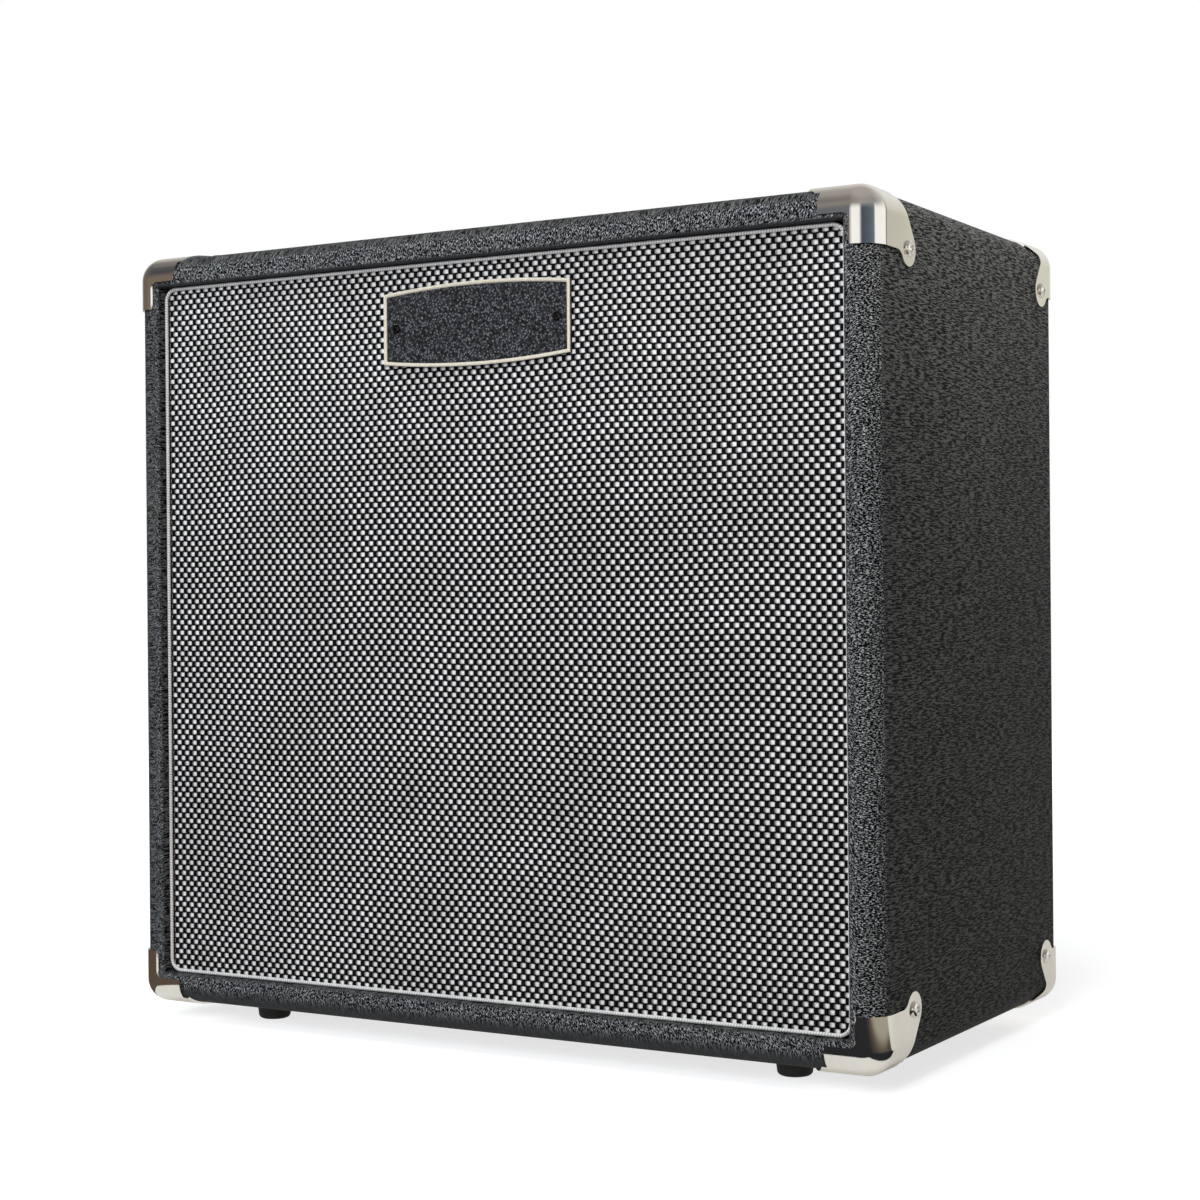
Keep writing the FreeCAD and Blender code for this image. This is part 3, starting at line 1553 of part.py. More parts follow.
def strip_end(sign):
    """The flat end of the strip inside a cap, with the slot that lets it slide on the screw."""
    start = f"{sign}(handle_span / 2 - cap_length / 2)"
    end = f"{sign}(handle_span / 2 + strip_overhang)"
    low, high = (start, end) if sign == "" else (end, start)
    half = "strip_width / 2"
    flat = block(
        f"strip_end{len(doc.Objects)}",
        (low, high),
        (f"-{half}", half),
        (f"{roof} + strip_lift", f"{roof} + strip_lift + strip"),
    )
    across = "(cap_screw_radius + slide_gap)"
    slot = block(
        f"strip_slot{len(doc.Objects)}",
        (f"{sign}handle_span / 2 - strip_slot / 2", f"{sign}handle_span / 2 + strip_slot / 2"),
        (f"-{across}", across),
        (roof, f"{roof} + strip_lift + strip + overrun"),
    )
    return flat, slot


def handle():
    half_chord = "handle_span / 2 - cap_length / 2"
    spring = new_body("strip_arch")
    arch(spring, "strip_profile", half_chord, "0", "strip", "strip_width")
    ends = [strip_end("-"), strip_end("")]
    whole = fuse("strip_whole", [spring] + [flat for flat, slot in ends])
    slots = fuse("strip_slots", [slot for flat, slot in ends])
    node(cut("strip_slotted", whole, slots), "handle_spring_strip")
    grip = new_body("grip_blank")
    across = "strip_width + 2 * grip_side"
    arch(grip, "grip_profile", "grip_length / 2", "-grip_below", "strip + grip_above", across)
    round_edges(grip, "grip_round", lambda edge: True)
    passage = new_body("grip_passage")
    arch(passage, "passage_profile", half_chord, "-fit", "strip + fit", "strip_width + 2 * fit")
    node(cut("grip_moulded", grip, passage), "handle_grip")
    end_cap()


def end_cap():
    body = new_body("cap_blank")
    sketch = new_sketch(body, "XY_Plane", "cap_outline", roof)
    near = "(handle_span / 2 - cap_length / 2)"
    half = "(strip_width / 2 + cap_side)"
    straight = f"({near} + cap_length - {half})"
    outline(
        sketch,
        [
            (near, f"-{half}"),
            (straight, f"-{half}"),
            (f"{straight} + {half}", "0", half, 1),
            (straight, half, half, 1),
            (near, half),
        ],
    )
    pad(body, sketch, "cap_tall")
    doc.recompute()
    top = size(f"{roof} + cap_tall")
    round_edges(body, "cap_round", lambda edge: on_level(edge, "z", top))
    room = "(strip_width / 2 + slide_gap)"
    pocket_space = block(
        "cap_space",
        (f"{near} - overrun", "handle_span / 2 + strip_overhang + slide_gap"),
        (f"-{room}", room),
        (f"{roof} - overrun", f"{roof} + strip_lift + strip + overrun"),
    )
    openings = fuse("cap_openings", [pocket_space, handle_holes])
    right = cut("handle_cap_right", body, openings)
    node(right, "handle_cap_right")
    node(mirrored("handle_cap_left", right, ALONG_X), "handle_cap_left")
    screw = screw_seed(
        "cap_screw", "cap_screw_head_radius", "cap_screw_head_height", "cap_screw_radius", "cap_screw_length"
    )
    node(scatter("handle_screws", screw, handle_spots), "handle_screws")


handle()

# build, test every piece, and write one file for each
doc.recompute()
failed = [item.Label for item in doc.Objects if {"Invalid", "Error"} & set(item.State)]
failed += [item.Label for item in nodes if item.Shape.isNull() or not item.Shape.isValid()]
failed += [item.Label for item in nodes if not item.Shape.isNull() and not item.Shape.Solids]
if failed:
    raise RuntimeError("pieces that failed: " + ", ".join(failed))

os.makedirs("parts", exist_ok=True)
for item in nodes:
    item.Shape.exportStep(f"parts/{item.Label}.step")
print(len(nodes), "pieces written")
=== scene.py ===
import math

import bpy
import numpy as np
from mathutils import Matrix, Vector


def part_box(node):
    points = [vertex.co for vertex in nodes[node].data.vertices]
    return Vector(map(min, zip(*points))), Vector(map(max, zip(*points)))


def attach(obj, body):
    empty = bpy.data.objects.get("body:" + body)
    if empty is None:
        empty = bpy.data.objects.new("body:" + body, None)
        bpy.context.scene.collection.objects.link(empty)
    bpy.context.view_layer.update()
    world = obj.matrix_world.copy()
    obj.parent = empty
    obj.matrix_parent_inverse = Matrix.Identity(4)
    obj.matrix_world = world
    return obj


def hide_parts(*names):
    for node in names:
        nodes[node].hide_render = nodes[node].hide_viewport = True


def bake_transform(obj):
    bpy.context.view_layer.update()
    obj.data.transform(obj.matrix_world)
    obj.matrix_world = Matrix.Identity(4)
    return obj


# guitar speaker cabinet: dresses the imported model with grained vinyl, woven grille cloth, twisted piping,
# a bare badge, recessed screws, a strap handle and its speaker
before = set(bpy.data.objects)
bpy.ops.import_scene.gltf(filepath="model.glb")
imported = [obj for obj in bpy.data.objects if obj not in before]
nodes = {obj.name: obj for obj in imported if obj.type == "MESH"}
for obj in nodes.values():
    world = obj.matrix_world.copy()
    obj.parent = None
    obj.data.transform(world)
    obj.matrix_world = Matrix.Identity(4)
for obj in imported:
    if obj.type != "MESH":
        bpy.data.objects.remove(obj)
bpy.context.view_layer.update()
mm = 0.001
print("frame loaded:", len(nodes), "nodes")

# how a finished piece is put together

def surface(name, grid, wrapU=False, wrapV=False, flip=False, uv=None):
    # joins each point of a grid (copies, u, v, 3) to the next along u and v, as quads
    grid = np.asarray(grid, float)
    if grid.ndim == 3:
        grid = grid[None]
    copies, nu, nv = grid.shape[:3]
    iu, iv = np.arange(nu if wrapU else nu - 1), np.arange(nv if wrapV else nv - 1)
    u0, v0 = np.meshgrid(iu, iv, indexing="ij")
    ring = [(u0, v0), (u0 + 1, v0), (u0 + 1, v0 + 1), (u0, v0 + 1)]
    if flip:
        ring = ring[::-1]
    quad = np.stack([(u % nu) * nv + v % nv for u, v in ring], -1).reshape(-1, 4)
    quad = (quad[None] + (np.arange(copies) * nu * nv)[:, None, None]).reshape(-1, 4)
    mesh = bpy.data.meshes.new(name)
    mesh.vertices.add(copies * nu * nv)
    mesh.vertices.foreach_set("co", grid.astype(np.float32).ravel())
    mesh.loops.add(quad.size)
    mesh.loops.foreach_set("vertex_index", quad.astype(np.int32).ravel())
    mesh.polygons.add(len(quad))
    mesh.polygons.foreach_set("loop_start", np.arange(0, quad.size, 4, dtype=np.int32))
    mesh.polygons.foreach_set("use_smooth", np.ones(len(quad), bool))
    if uv is not None:  # a map of (copies, u, v, 2), or of (u, v, 2) that the copies share
        uv = np.broadcast_to(uv, (copies, *uv.shape[-3:]))
        corner = np.stack([uv[:, u, v] for u, v in ring], -2)
        layer = mesh.uv_layers.new(name="UVMap")
        layer.data.foreach_set("uv", corner.astype(np.float32).ravel())
    mesh.update(calc_edges=True)
    mesh.validate()
    piece = bpy.data.objects.new(name, mesh)
    bpy.context.scene.collection.objects.link(piece)
    return piece


def dress(piece, material, body=None, stands=()):
    piece.data.materials.clear()
    piece.data.materials.append(material)
    if body:
        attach(piece, body)
    if stands:
        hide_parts(*stands)
    return piece


def roundedLoop(halfWide, halfHigh, corner, perCorner):
    # closed rectangle with round corners: each corner is sign * (half - radius) + radius * (cos, sin)
    halfWide, halfHigh, corner = np.broadcast_arrays(*map(np.atleast_1d, (halfWide, halfHigh, corner)))
    turn = np.linspace(0, math.pi / 2, perCorner + 1)
    angle = (np.arange(4)[:, None] * math.pi / 2 + turn[None]).reshape(-1, 1)
    signX = np.repeat([1, -1, -1, 1], perCorner + 1)[:, None]
    signZ = np.repeat([1, 1, -1, -1], perCorner + 1)[:, None]
    x = signX * (halfWide - corner) + corner * np.cos(angle)
    z = signZ * (halfHigh - corner) + corner * np.sin(angle)
    return x, z


def arc(centreA, centreB, radius, start, end, steps):
    angle = np.radians(np.linspace(start, end, steps))
    return np.stack([centreA + radius * np.cos(angle), centreB + radius * np.sin(angle)], -1)


# node graphs

def finish(name, **values):
    # a material whose even values sit on the shader's own sockets
    material = bpy.data.materials.new(name)
    material.use_nodes = True
    tree = material.node_tree
    shader = tree.nodes["Principled BSDF"]
    for key, value in values.items():
        shader.inputs[key.replace("_", " ")].default_value = value
    return material, tree, shader


def add(tree, kind, settings=None, **inputs):
    # one node: an input is either a constant or the socket that feeds it
    node = tree.nodes.new("ShaderNode" + kind)
    for key, value in (settings or {}).items():
        setattr(node, key, value)
    for key, value in inputs.items():
        numbered = key[0] == "i" and key[1:].isdigit()
        socket = node.inputs[int(key[1:]) if numbered else key.replace("_", " ")]
        if isinstance(value, bpy.types.NodeSocket):
            tree.links.new(value, socket)
        else:
            socket.default_value = value
    return node


def coords(tree, scale=(1, 1, 1), source="Object"):
    place = add(tree, "TexCoord").outputs[source]
    return add(tree, "Mapping", Vector=place, Scale=scale).outputs[0]


def noise(tree, vector, scale, detail, rough, bend=0.0):
    settings = {"Scale": scale, "Detail": detail, "Roughness": rough, "Distortion": bend}
    return add(tree, "TexNoise", Vector=vector, **settings).outputs[0]


def ramp(tree, factor, stops):
    node = add(tree, "ValToRGB", Fac=factor)
    band = node.color_ramp
    while len(band.elements) < len(stops):
        band.elements.new(1)
    for element, (place, colour) in zip(band.elements, stops):
        element.position = place
        element.color = (*colour, 1) if hasattr(colour, "__len__") else (colour, colour, colour, 1)
    return node.outputs[0]


def blendTwo(tree, factor, first, second, kind="MIX"):
    node = add(tree, "Mix", {"data_type": "RGBA", "blend_type": kind}, i0=factor)
    for index, value in ((6, first), (7, second)):
        if isinstance(value, bpy.types.NodeSocket):
            tree.links.new(value, node.inputs[index])
        else:
            node.inputs[index].default_value = (*value, 1)
    return node.outputs[2]


def maths(tree, kind, first, second=0.5, third=0.5):
    return add(tree, "Math", {"operation": kind}, i0=first, i1=second, i2=third).outputs[0]


def bumped(tree, shader, height, strength, distance):
    bump = add(tree, "Bump", Height=height, Strength=strength, Distance=distance)
    tree.links.new(bump.outputs[0], shader.inputs["Normal"])


def feed(tree, shader, **wires):
    for key, value in wires.items():
        tree.links.new(value, shader.inputs[key.replace("_", " ")])


# finishes

vinylLook = {
    # tone by the height of the grain: on the sides, and a painted highlight on the ridges of faces turned to
    # the front
    "calm": [(0.47, (0.001, 0.001, 0.001)), (0.55, (0.112, 0.112, 0.107))],
    "glintTone": [(0.51, (0.002, 0.002, 0.0022)), (0.66, (0.40, 0.40, 0.40))],
    # painted shade: faces turned down get this one flat tone, without the grain's glints
    "under": (0.046, 0.046, 0.047),  # faces turned down
    "grain": (2000, 760),  # in a metre round the box and from front to back
    "streak": (1450, 170),
    "streaky": 0.8,  # share of the streaks in the sides' grain
    "depth": 0.3 * mm,
    # painted highlight by how far a face is turned to the front, up and to the right, and by its place across
    "toFront": [(0.12, 0.0), (0.38, 1.0)],
    "upright": [(0.27, 0.0), (0.45, 1.0), (0.70, 1.0), (0.85, 0.0)],
    "toRight": [(0.20, 0.35), (0.50, 1.0)],
    "across": [(0.285, 0.3), (0.30, 1.0)],
    "toUnderShade": [(0.20, 0.85), (0.36, 0.0)],  # share of the tone of faces turned down
}


def vinylFinish(name, source, order):
    # embossed with short ridges and with longer streaks that run from front to back; painted highlights make
    # the ridges glint most on faces turned to the front, not over the top or under the bottom, and less on
    # the left; faces turned down get a flat painted shade
    look = vinylLook
    material, tree, shader = finish(name, Specular_IOR_Level=0.03)

    def relief(pitch):
        scale = [(*pitch, 1)[axis] for axis in order]
        return noise(tree, coords(tree, scale, source), 1.0, 1.5, 0.6, 0.6)

    ridge, streak = relief(look["grain"]), relief(look["streak"])
    even = maths(tree, "MULTIPLY_ADD", maths(tree, "SUBTRACT", streak, ridge), look["streaky"], ridge)
    pore = noise(tree, coords(tree), 1900.0, 2.0, 0.6)
    wear = noise(tree, coords(tree), 9.0, 3.0, 0.6)
    facing = add(tree, "SeparateXYZ", Vector=add(tree, "TexCoord").outputs["Normal"]).outputs
    front = ramp(tree, maths(tree, "MULTIPLY", facing[1], -1.0), look["toFront"])
    tilt = maths(tree, "MULTIPLY_ADD", facing[2], 0.5, 0.5)
    upright = ramp(tree, tilt, look["upright"])
    right = ramp(tree, maths(tree, "MULTIPLY_ADD", facing[0], 0.5, 0.5), look["toRight"])
    across = add(tree, "SeparateXYZ", Vector=coords(tree)).outputs[0]
    inner = ramp(tree, maths(tree, "ADD", across, 0.5), look["across"])
    ahead, placed = maths(tree, "MULTIPLY", front, upright), maths(tree, "MULTIPLY", right, inner)
    glintShare = maths(tree, "MULTIPLY", ahead, placed)
    # painted highlight: the ridges are painted bright on faces turned to the front right
    tone = blendTwo(tree, glintShare, ramp(tree, even, look["calm"]), ramp(tree, ridge, look["glintTone"]))
    # painted shade: faces turned down take the flat tone
    tone = blendTwo(tree, ramp(tree, tilt, look["toUnderShade"]), tone, look["under"])
    cloud = ramp(tree, wear, [(0.3, (0.88, 0.88, 0.90)), (0.7, (1.0, 1.0, 0.98))])
    feed(tree, shader, Base_Color=blendTwo(tree, 1.0, tone, cloud, "MULTIPLY"))
    feed(tree, shader, Roughness=maths(tree, "MULTIPLY_ADD", ridge, -0.3, 0.65))
    bumped(tree, shader, maths(tree, "MULTIPLY_ADD", pore, 0.2, even), 1.0, look["depth"])
    return material


def metalFinish(name, colour, rough, smear=0.08, metallic=1.0, hammer=0.0):
    # plated or painted metal: slight clouds in the polish, hair-line scratches, and a hammered skin if asked
    material, tree, shader = finish(name, Metallic=metallic)
    cloud = noise(tree, coords(tree), 60.0, 4.0, 0.6)
    scratch = noise(tree, coords(tree, (2200, 90, 900)), 1.0, 2.0, 0.5)
    dull = [max(c - smear, 0.0) for c in colour]
    feed(tree, shader, Base_Color=ramp(tree, cloud, [(0.35, dull), (0.62, colour)]))
    gloss = maths(tree, "MULTIPLY_ADD", scratch, smear, rough - smear / 2)
    feed(tree, shader, Roughness=gloss)
    if hammer:
        dimple = add(tree, "TexVoronoi", Vector=coords(tree), Scale=420.0).outputs["Distance"]
        bumped(tree, shader, dimple, 0.5, hammer)
    else:
        bumped(tree, shader, scratch, 0.06, 0.00004)
    return material


def woodFinish(name, pale, dark, rings, along):
    # board: growth rings and fibres drawn out along one axis
    stretch = {"x": (2.0, 26, 26), "z": (26, 26, 2.0)}[along]
    fine = {"x": (40, 1900, 1900), "z": (1900, 1900, 40)}[along]
    material, tree, shader = finish(name)
    swirl = noise(tree, coords(tree, stretch), 1.0, 3.0, 0.6, 0.6)
    ring = maths(tree, "FRACT", maths(tree, "MULTIPLY", swirl, rings))
    fibre = noise(tree, coords(tree, fine), 1.0, 2.0, 0.5)
    mark = maths(tree, "MULTIPLY_ADD", fibre, 0.5, maths(tree, "MULTIPLY", ring, 0.5))
    feed(tree, shader, Base_Color=ramp(tree, mark, [(0.2, pale), (0.8, dark)]))
    feed(tree, shader, Roughness=maths(tree, "MULTIPLY_ADD", fibre, 0.2, 0.55))
    bumped(tree, shader, fibre, 0.3, 0.0002)
    return material


def mouldedFinish(name, low, high, rough, grainScale=1400.0, depth=0.00006):
    # moulded rubber, plastic or fibre: fine speckle and a slightly uneven gloss
    material, tree, shader = finish(name)
    speck = noise(tree, coords(tree), grainScale, 3.0, 0.6)
    patch = noise(tree, coords(tree), 70.0, 3.0, 0.6)
    tone = maths(tree, "MULTIPLY_ADD", speck, 0.5, maths(tree, "MULTIPLY", patch, 0.5))
    feed(tree, shader, Base_Color=ramp(tree, tone, [(0.3, low), (0.7, high)]))
    feed(tree, shader, Roughness=maths(tree, "MULTIPLY_ADD", patch, 0.2, rough - 0.1))
    bumped(tree, shader, speck, 0.4, depth)
    return material


def fibreFinish(name, low, high, rough, scale=900.0, sheen=0.3):
    # paper or felt: short fibres in every direction, by two crossed noises
    material, tree, shader = finish(name, Sheen_Weight=sheen)
    one = noise(tree, coords(tree, (scale, scale / 6, scale)), 1.0, 3.0, 0.6, 1.2)
    two = noise(tree, coords(tree, (scale / 6, scale, scale / 2)), 1.0, 3.0, 0.6, 1.2)
    mat = maths(tree, "MULTIPLY_ADD", one, 0.5, maths(tree, "MULTIPLY", two, 0.5))
    feed(tree, shader, Base_Color=ramp(tree, mat, [(0.35, low), (0.65, high)]))
    feed(tree, shader, Roughness=maths(tree, "MULTIPLY_ADD", mat, 0.2, rough - 0.1))
    bumped(tree, shader, mat, 0.5, 0.0003)
    return material


def yarnFinish(name, low, high, rough, specular, dip, lean=0.0):
    # yarn with strands along its length: u counts crossings, so it crests at even u, and v runs across it;
    # painted shade darkens it towards its dips and edges, with the painted highlight on each crest moved
    # aside by lean; the dips' painted shade is lighter near the top, where more light reaches them
    material, tree, shader = finish(name, Specular_IOR_Level=specular)
    place = add(tree, "SeparateXYZ", Vector=coords(tree, source="UV"))
    # painted highlight on each crest, moved aside by lean
    swing = maths(tree, "COSINE", maths(tree, "MULTIPLY_ADD", place.outputs[0], math.pi, lean))
    crest = maths(tree, "MULTIPLY_ADD", swing, 0.5, 0.5)
    side = maths(tree, "POWER", maths(tree, "ABSOLUTE", place.outputs[1]), 4.0)
    edgeShade = maths(tree, "MULTIPLY_ADD", side, -0.85, 1.0)
    strand = noise(tree, coords(tree, (0.6, 5.0, 1.0), "UV"), 1.0, 2.0, 0.5)
    patch = noise(tree, coords(tree), 30.0, 3.0, 0.6)
    tone = maths(tree, "MULTIPLY_ADD", strand, 0.6, maths(tree, "MULTIPLY", patch, 0.4))
    colour = ramp(tree, tone, [(0.35, low), (0.62, high)])
    height = add(tree, "SeparateXYZ", Vector=coords(tree)).outputs[2]
    # painted shade: darker towards the dips and the yarn's edges
    floor = ramp(tree, height, [(0.27, dip), (0.41, dip * 5)])
    crestHighlight = maths(tree, "POWER", crest, 1.6)
    dipShade = maths(tree, "MULTIPLY_ADD", crestHighlight, maths(tree, "SUBTRACT", 1.0, floor), floor)
    shade = maths(tree, "MULTIPLY", dipShade, edgeShade)
    feed(tree, shader, Base_Color=blendTwo(tree, 1.0, colour, shade, "MULTIPLY"))
    feed(tree, shader, Roughness=maths(tree, "MULTIPLY_ADD", strand, 0.2, rough - 0.1))
    bumped(tree, shader, strand, 0.6, 0.00012)
    return material


vinyl = vinylFinish("grainedVinyl", "UV", (0, 1, 2))
panelVinyl = vinylFinish("panelVinyl", "Object", (0, 2, 1))
nickel = metalFinish("polishedNickel", (0.91, 0.88, 0.82), 0.09, 0.04)
zincSteel = metalFinish("zincSteel", (0.55, 0.56, 0.57), 0.34, 0.12)
springSteel = metalFinish("springSteel", (0.30, 0.31, 0.33), 0.30, 0.10)
copper = metalFinish("copperWire", (0.70, 0.33, 0.17), 0.32, 0.10)
darkScrew = metalFinish("blackScrew", (0.05, 0.05, 0.052), 0.22, 0.02)
basketPaint = metalFinish("basketPaint", (0.045, 0.047, 0.05), 0.42, 0.02, 0.0, 0.00012)
birch = ((0.56, 0.41, 0.26), (0.42, 0.28, 0.16), 9.0)
plywood = woodFinish("birchPlywood", *birch, "x")
sidePlywood = woodFinish("birchSidePlywood", *birch, "z")
softwood = woodFinish("pineBatten", (0.62, 0.45, 0.27), (0.43, 0.26, 0.12), 14.0, "z")
blackBoard = woodFinish("blackStainedBoard", (0.020, 0.019, 0.018), (0.010, 0.010, 0.010), 9.0, "x")
rubber = mouldedFinish("footRubber", (0.010, 0.010, 0.010), (0.030, 0.030, 0.031), 0.62)
gasketFoam = mouldedFinish("gasketFoam", (0.012, 0.012, 0.012), (0.04, 0.04, 0.04), 0.85, 900.0, 0.0003)
ferrite = mouldedFinish("ferrite", (0.030, 0.031, 0.033), (0.075, 0.077, 0.080), 0.5, 2200.0)
fibreBoard = mouldedFinish("fibreBoard", (0.20, 0.09, 0.035), (0.30, 0.15, 0.06), 0.55, 700.0)
jackPlastic = mouldedFinish("jackPlastic", (0.012, 0.012, 0.013), (0.028, 0.028, 0.030), 0.40)
redSleeve = mouldedFinish("redSleeve", (0.36, 0.012, 0.010), (0.50, 0.025, 0.018), 0.36)
blackSleeve = mouldedFinish("blackSleeve", (0.012, 0.012, 0.012), (0.030, 0.030, 0.030), 0.36)
conePaper = fibreFinish("conePaper", (0.028, 0.025, 0.022), (0.075, 0.068, 0.060), 0.85)
capPaper = fibreFinish("capPaper", (0.020, 0.018, 0.017), (0.055, 0.050, 0.046), 0.80)
formerPaper = fibreFinish("formerPaper", (0.30, 0.20, 0.10), (0.44, 0.31, 0.17), 0.6)
padFelt = fibreFinish("hookAndLoopFelt", (0.008, 0.008, 0.008), (0.035, 0.035, 0.036), 0.95, 1600.0, 0.6)
spiderCloth = fibreFinish("spiderCloth", (0.36, 0.20, 0.07), (0.52, 0.33, 0.14), 0.8, 1300.0)
surroundCloth = fibreFinish("surroundCloth", (0.012, 0.012, 0.012), (0.040, 0.038, 0.036), 0.8, 1300.0)
tinselBraid = metalFinish("tinselBraid", (0.72, 0.62, 0.48), 0.4, 0.15)
silverYarn = yarnFinish("silverYarn", (0.52, 0.485, 0.465), (0.87, 0.825, 0.795), 0.42, 0.4, 0.05, -0.75)
blackYarn = yarnFinish("blackYarn", (0.002, 0.002, 0.002), (0.007, 0.0065, 0.0065), 0.7, 0.05, 0.2)
clothBack = fibreFinish("clothBacking", (0.0015, 0.0015, 0.0015), (0.004, 0.004, 0.004), 0.95, 1800.0, 0.0)
print("finishes made:", len(bpy.data.materials))

# covered box

boxShape = {
    "halfWide": 225 * mm,
    "halfHigh": 208 * mm,
    "middle": 219 * mm,
    "halfDeep": 125 * mm,
    "edge": 12 * mm,  # rounding of the outer edges
    "lip": 1.6 * mm,  # rounding into the mouth
    "mouth": 16.2 * mm,  # inset of the mouth from the outside
    "mouthCorner": 0.8 * mm,
    "frontEnd": -105.65 * mm,  # where the wrap ends at the baffle
    "backEnd": 107 * mm,
    "lipSteps": 6,
    "edgeSteps": 10,
    "cornerSteps": 8,
}


def coveredBox():
    # wrap section (inset, depth) from the front mouth over the outside to the back mouth, carried round a
    # rectangle whose corners have the radius edge - inset
    s = boxShape
    front, edge, lip, mouth = -s["halfDeep"], s["edge"], s["lip"], s["mouth"]
    half = np.concatenate([
        [[mouth, 0.0]],
        arc(mouth - lip, front + lip, lip, 0, -90, s["lipSteps"]),
        arc(edge, front + edge, edge, -90, -180, s["edgeSteps"]),
    ])
    rear = half[::-1] * [1, -1]
    half[0, 1], rear[-1, 1] = s["frontEnd"], s["backEnd"]
    section = np.concatenate([half, rear])
    inset = section[:, 0]
    corner = np.maximum(edge - inset, s["mouthCorner"])
    x, z = roundedLoop(s["halfWide"] - inset, s["halfHigh"] - inset, corner, s["cornerSteps"])
    y = np.broadcast_to(section[:, 1], x.shape)
    outline = np.stack([x, z], -1)[:, len(half) - 1]
    around = np.linalg.norm(np.roll(outline, -1, 0) - outline, axis=1)
    along = np.linalg.norm(np.diff(section, axis=0), axis=1)
    uv = np.meshgrid(np.append(0, np.cumsum(around)), np.append(0, np.cumsum(along)), indexing="ij")
    grid = np.stack([x, y, z + s["middle"]], -1)
    skin = surface("vinylSkin", grid, wrapU=True, flip=True, uv=np.stack(uv, -1))
    return dress(skin, vinyl, "cabinet", ["vinyl_covering"])


coveredBox()
print("box covered")

# grille cloth: silver weft over and under black warp

clothLow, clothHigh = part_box("grille_cloth")
weave = {
    "halfWide": clothHigh.x - 0.3 * mm,
    "low": clothLow.z + 0.3 * mm,
    "high": clothHigh.z - 0.3 * mm,
    "warpPitch": 2.735 * mm,
    "weftPitch": 2.93 * mm,
    "plane": clothLow.y + 0.45 * mm,
    "swing": 0.26 * mm,  # how far a yarn rises and dips
    "crown": 0.16 * mm,  # how much a yarn's middle stands above its edges
    "weftHalf": 1.12 * mm,
    "warpHalf": 0.96 * mm,
    "swell": 0.16,  # how much wider a yarn is where it crests
    "wander": 0.55 * mm,  # how far rows stray from straight
    "fade": 40 * mm,  # from the piping to where they stray in full
    # slow waves: size, millimetres across and up for one radian, start
    "rise": [(1, 37, 61, 0), (0.7, 17, -83, 1.3)],
    "drift": [(0.6, 70, 41, 0), (0.4, -120, 23, 0)],
    "bend": 0.5 * mm,  # rounding of the sheet over the frame's edge
    "margin": 20 * mm,  # strip of the sheet inside that bend
    "back": clothLow.y + 0.77 * mm,
    "skirt": clothHigh.y,
}


def strayed(x, z):
    # rows and columns wander together by slow waves that fade out at the piping
    w = weave
    rooms = (w["halfWide"] - np.abs(x), z - w["low"], w["high"] - z)
    side, low, high = (np.clip(room / w["fade"], 0, 1) for room in rooms)
    fade = side * low * high * w["wander"]

    def waves(rows):
        return sum(
            size * np.sin(x / (wide * mm) + z / (tall * mm) + start) for size, wide, tall, start in rows)

    return x + fade * waves(w["drift"]), z + fade * waves(w["rise"])


def yarns(name, rows, crossed, half, over, level):
    # yarn k: depth = plane - over * swing * cos(pi * (crossing + k)), crowned across its width; its own rows
    # and the crossed ones are each a count, a start and a pitch
    w = weave
    count, start, pitch = rows
    otherCount, otherStart, otherPitch = crossed
    crossing = np.linspace(-0.5, otherCount - 0.5, otherCount * 2 + 1)
    across = np.array([-1.0, 0.0, 1.0])
    k = np.arange(count)
    along = otherStart + (crossing + 0.5) * otherPitch
    wave = over * np.cos(math.pi * (crossing[None, :] + k[:, None]))[:, :, None]
    side = start + (k[:, None, None] + 0.5) * pitch + across * half * (1 + w["swell"] * wave)
    run = np.broadcast_to(along[None, :, None], side.shape)
    depth = w["plane"] - w["swing"] * wave - w["crown"] * (1 - across**2)
    x, z = (run, side) if level else (side, run)
    x, z = strayed(x, z)
    turn = crossing[None, :, None] + k[:, None, None] + (0 if over > 0 else 1)
    uv = np.stack(np.broadcast_arrays(turn, across), -1)
    return surface(name, np.stack([x, np.broadcast_to(depth, x.shape), z], -1), flip=not level, uv=uv)


def clothBacking():
    # the sheet itself: flat over the frame, turned back round its edges, with the corners cut away
    w = weave
    bend = w["bend"]
    drop = w["skirt"] - w["back"]
    turn = arc(0, 0, bend, 90, 0, 5)
    edge = np.concatenate([[[-w["margin"], bend]], turn, [[bend, bend - drop]]])
    edge[:, 1] = bend - edge[:, 1]
    across = edge[:, 0] + w["halfWide"] - bend
    upHalf = (w["high"] - w["low"]) / 2
    upward = edge[:, 0] + upHalf - bend
    x = np.concatenate([-across[::-1], across])
    z = np.concatenate([-upward[::-1], upward]) + (w["low"] + w["high"]) / 2
    deep = np.concatenate([edge[::-1, 1], edge[:, 1]])
    depth = np.maximum(deep[:, None], deep[None, :]) + w["back"]
    grid = np.stack([*np.broadcast_arrays(x[:, None], depth, z[None, :])], -1)
    return surface("grilleCloth", grid)


def grilleCloth():
    w = weave
    wefts = int((w["high"] - w["low"]) / w["weftPitch"])
    warps = int(2 * w["halfWide"] / w["warpPitch"])
    low = (w["low"] + w["high"] - wefts * w["weftPitch"]) / 2
    left = -warps * w["warpPitch"] / 2
    weftRows, warpRows = (wefts, low, w["weftPitch"]), (warps, left, w["warpPitch"])
    weft = yarns("clothWeft", weftRows, warpRows, w["weftHalf"], 1, True)
    warp = yarns("clothWarp", warpRows, weftRows, w["warpHalf"], -1, False)
    dress(weft, silverYarn, "cabinet")
    dress(warp, blackYarn, "cabinet")
    cloth = dress(clothBacking(), clothBack, "cabinet", ["grille_cloth"])
    print("cloth woven:", wefts, "weft rows,", warps, "warp columns")


grilleCloth()

# piping: a twisted silver cord round the cloth

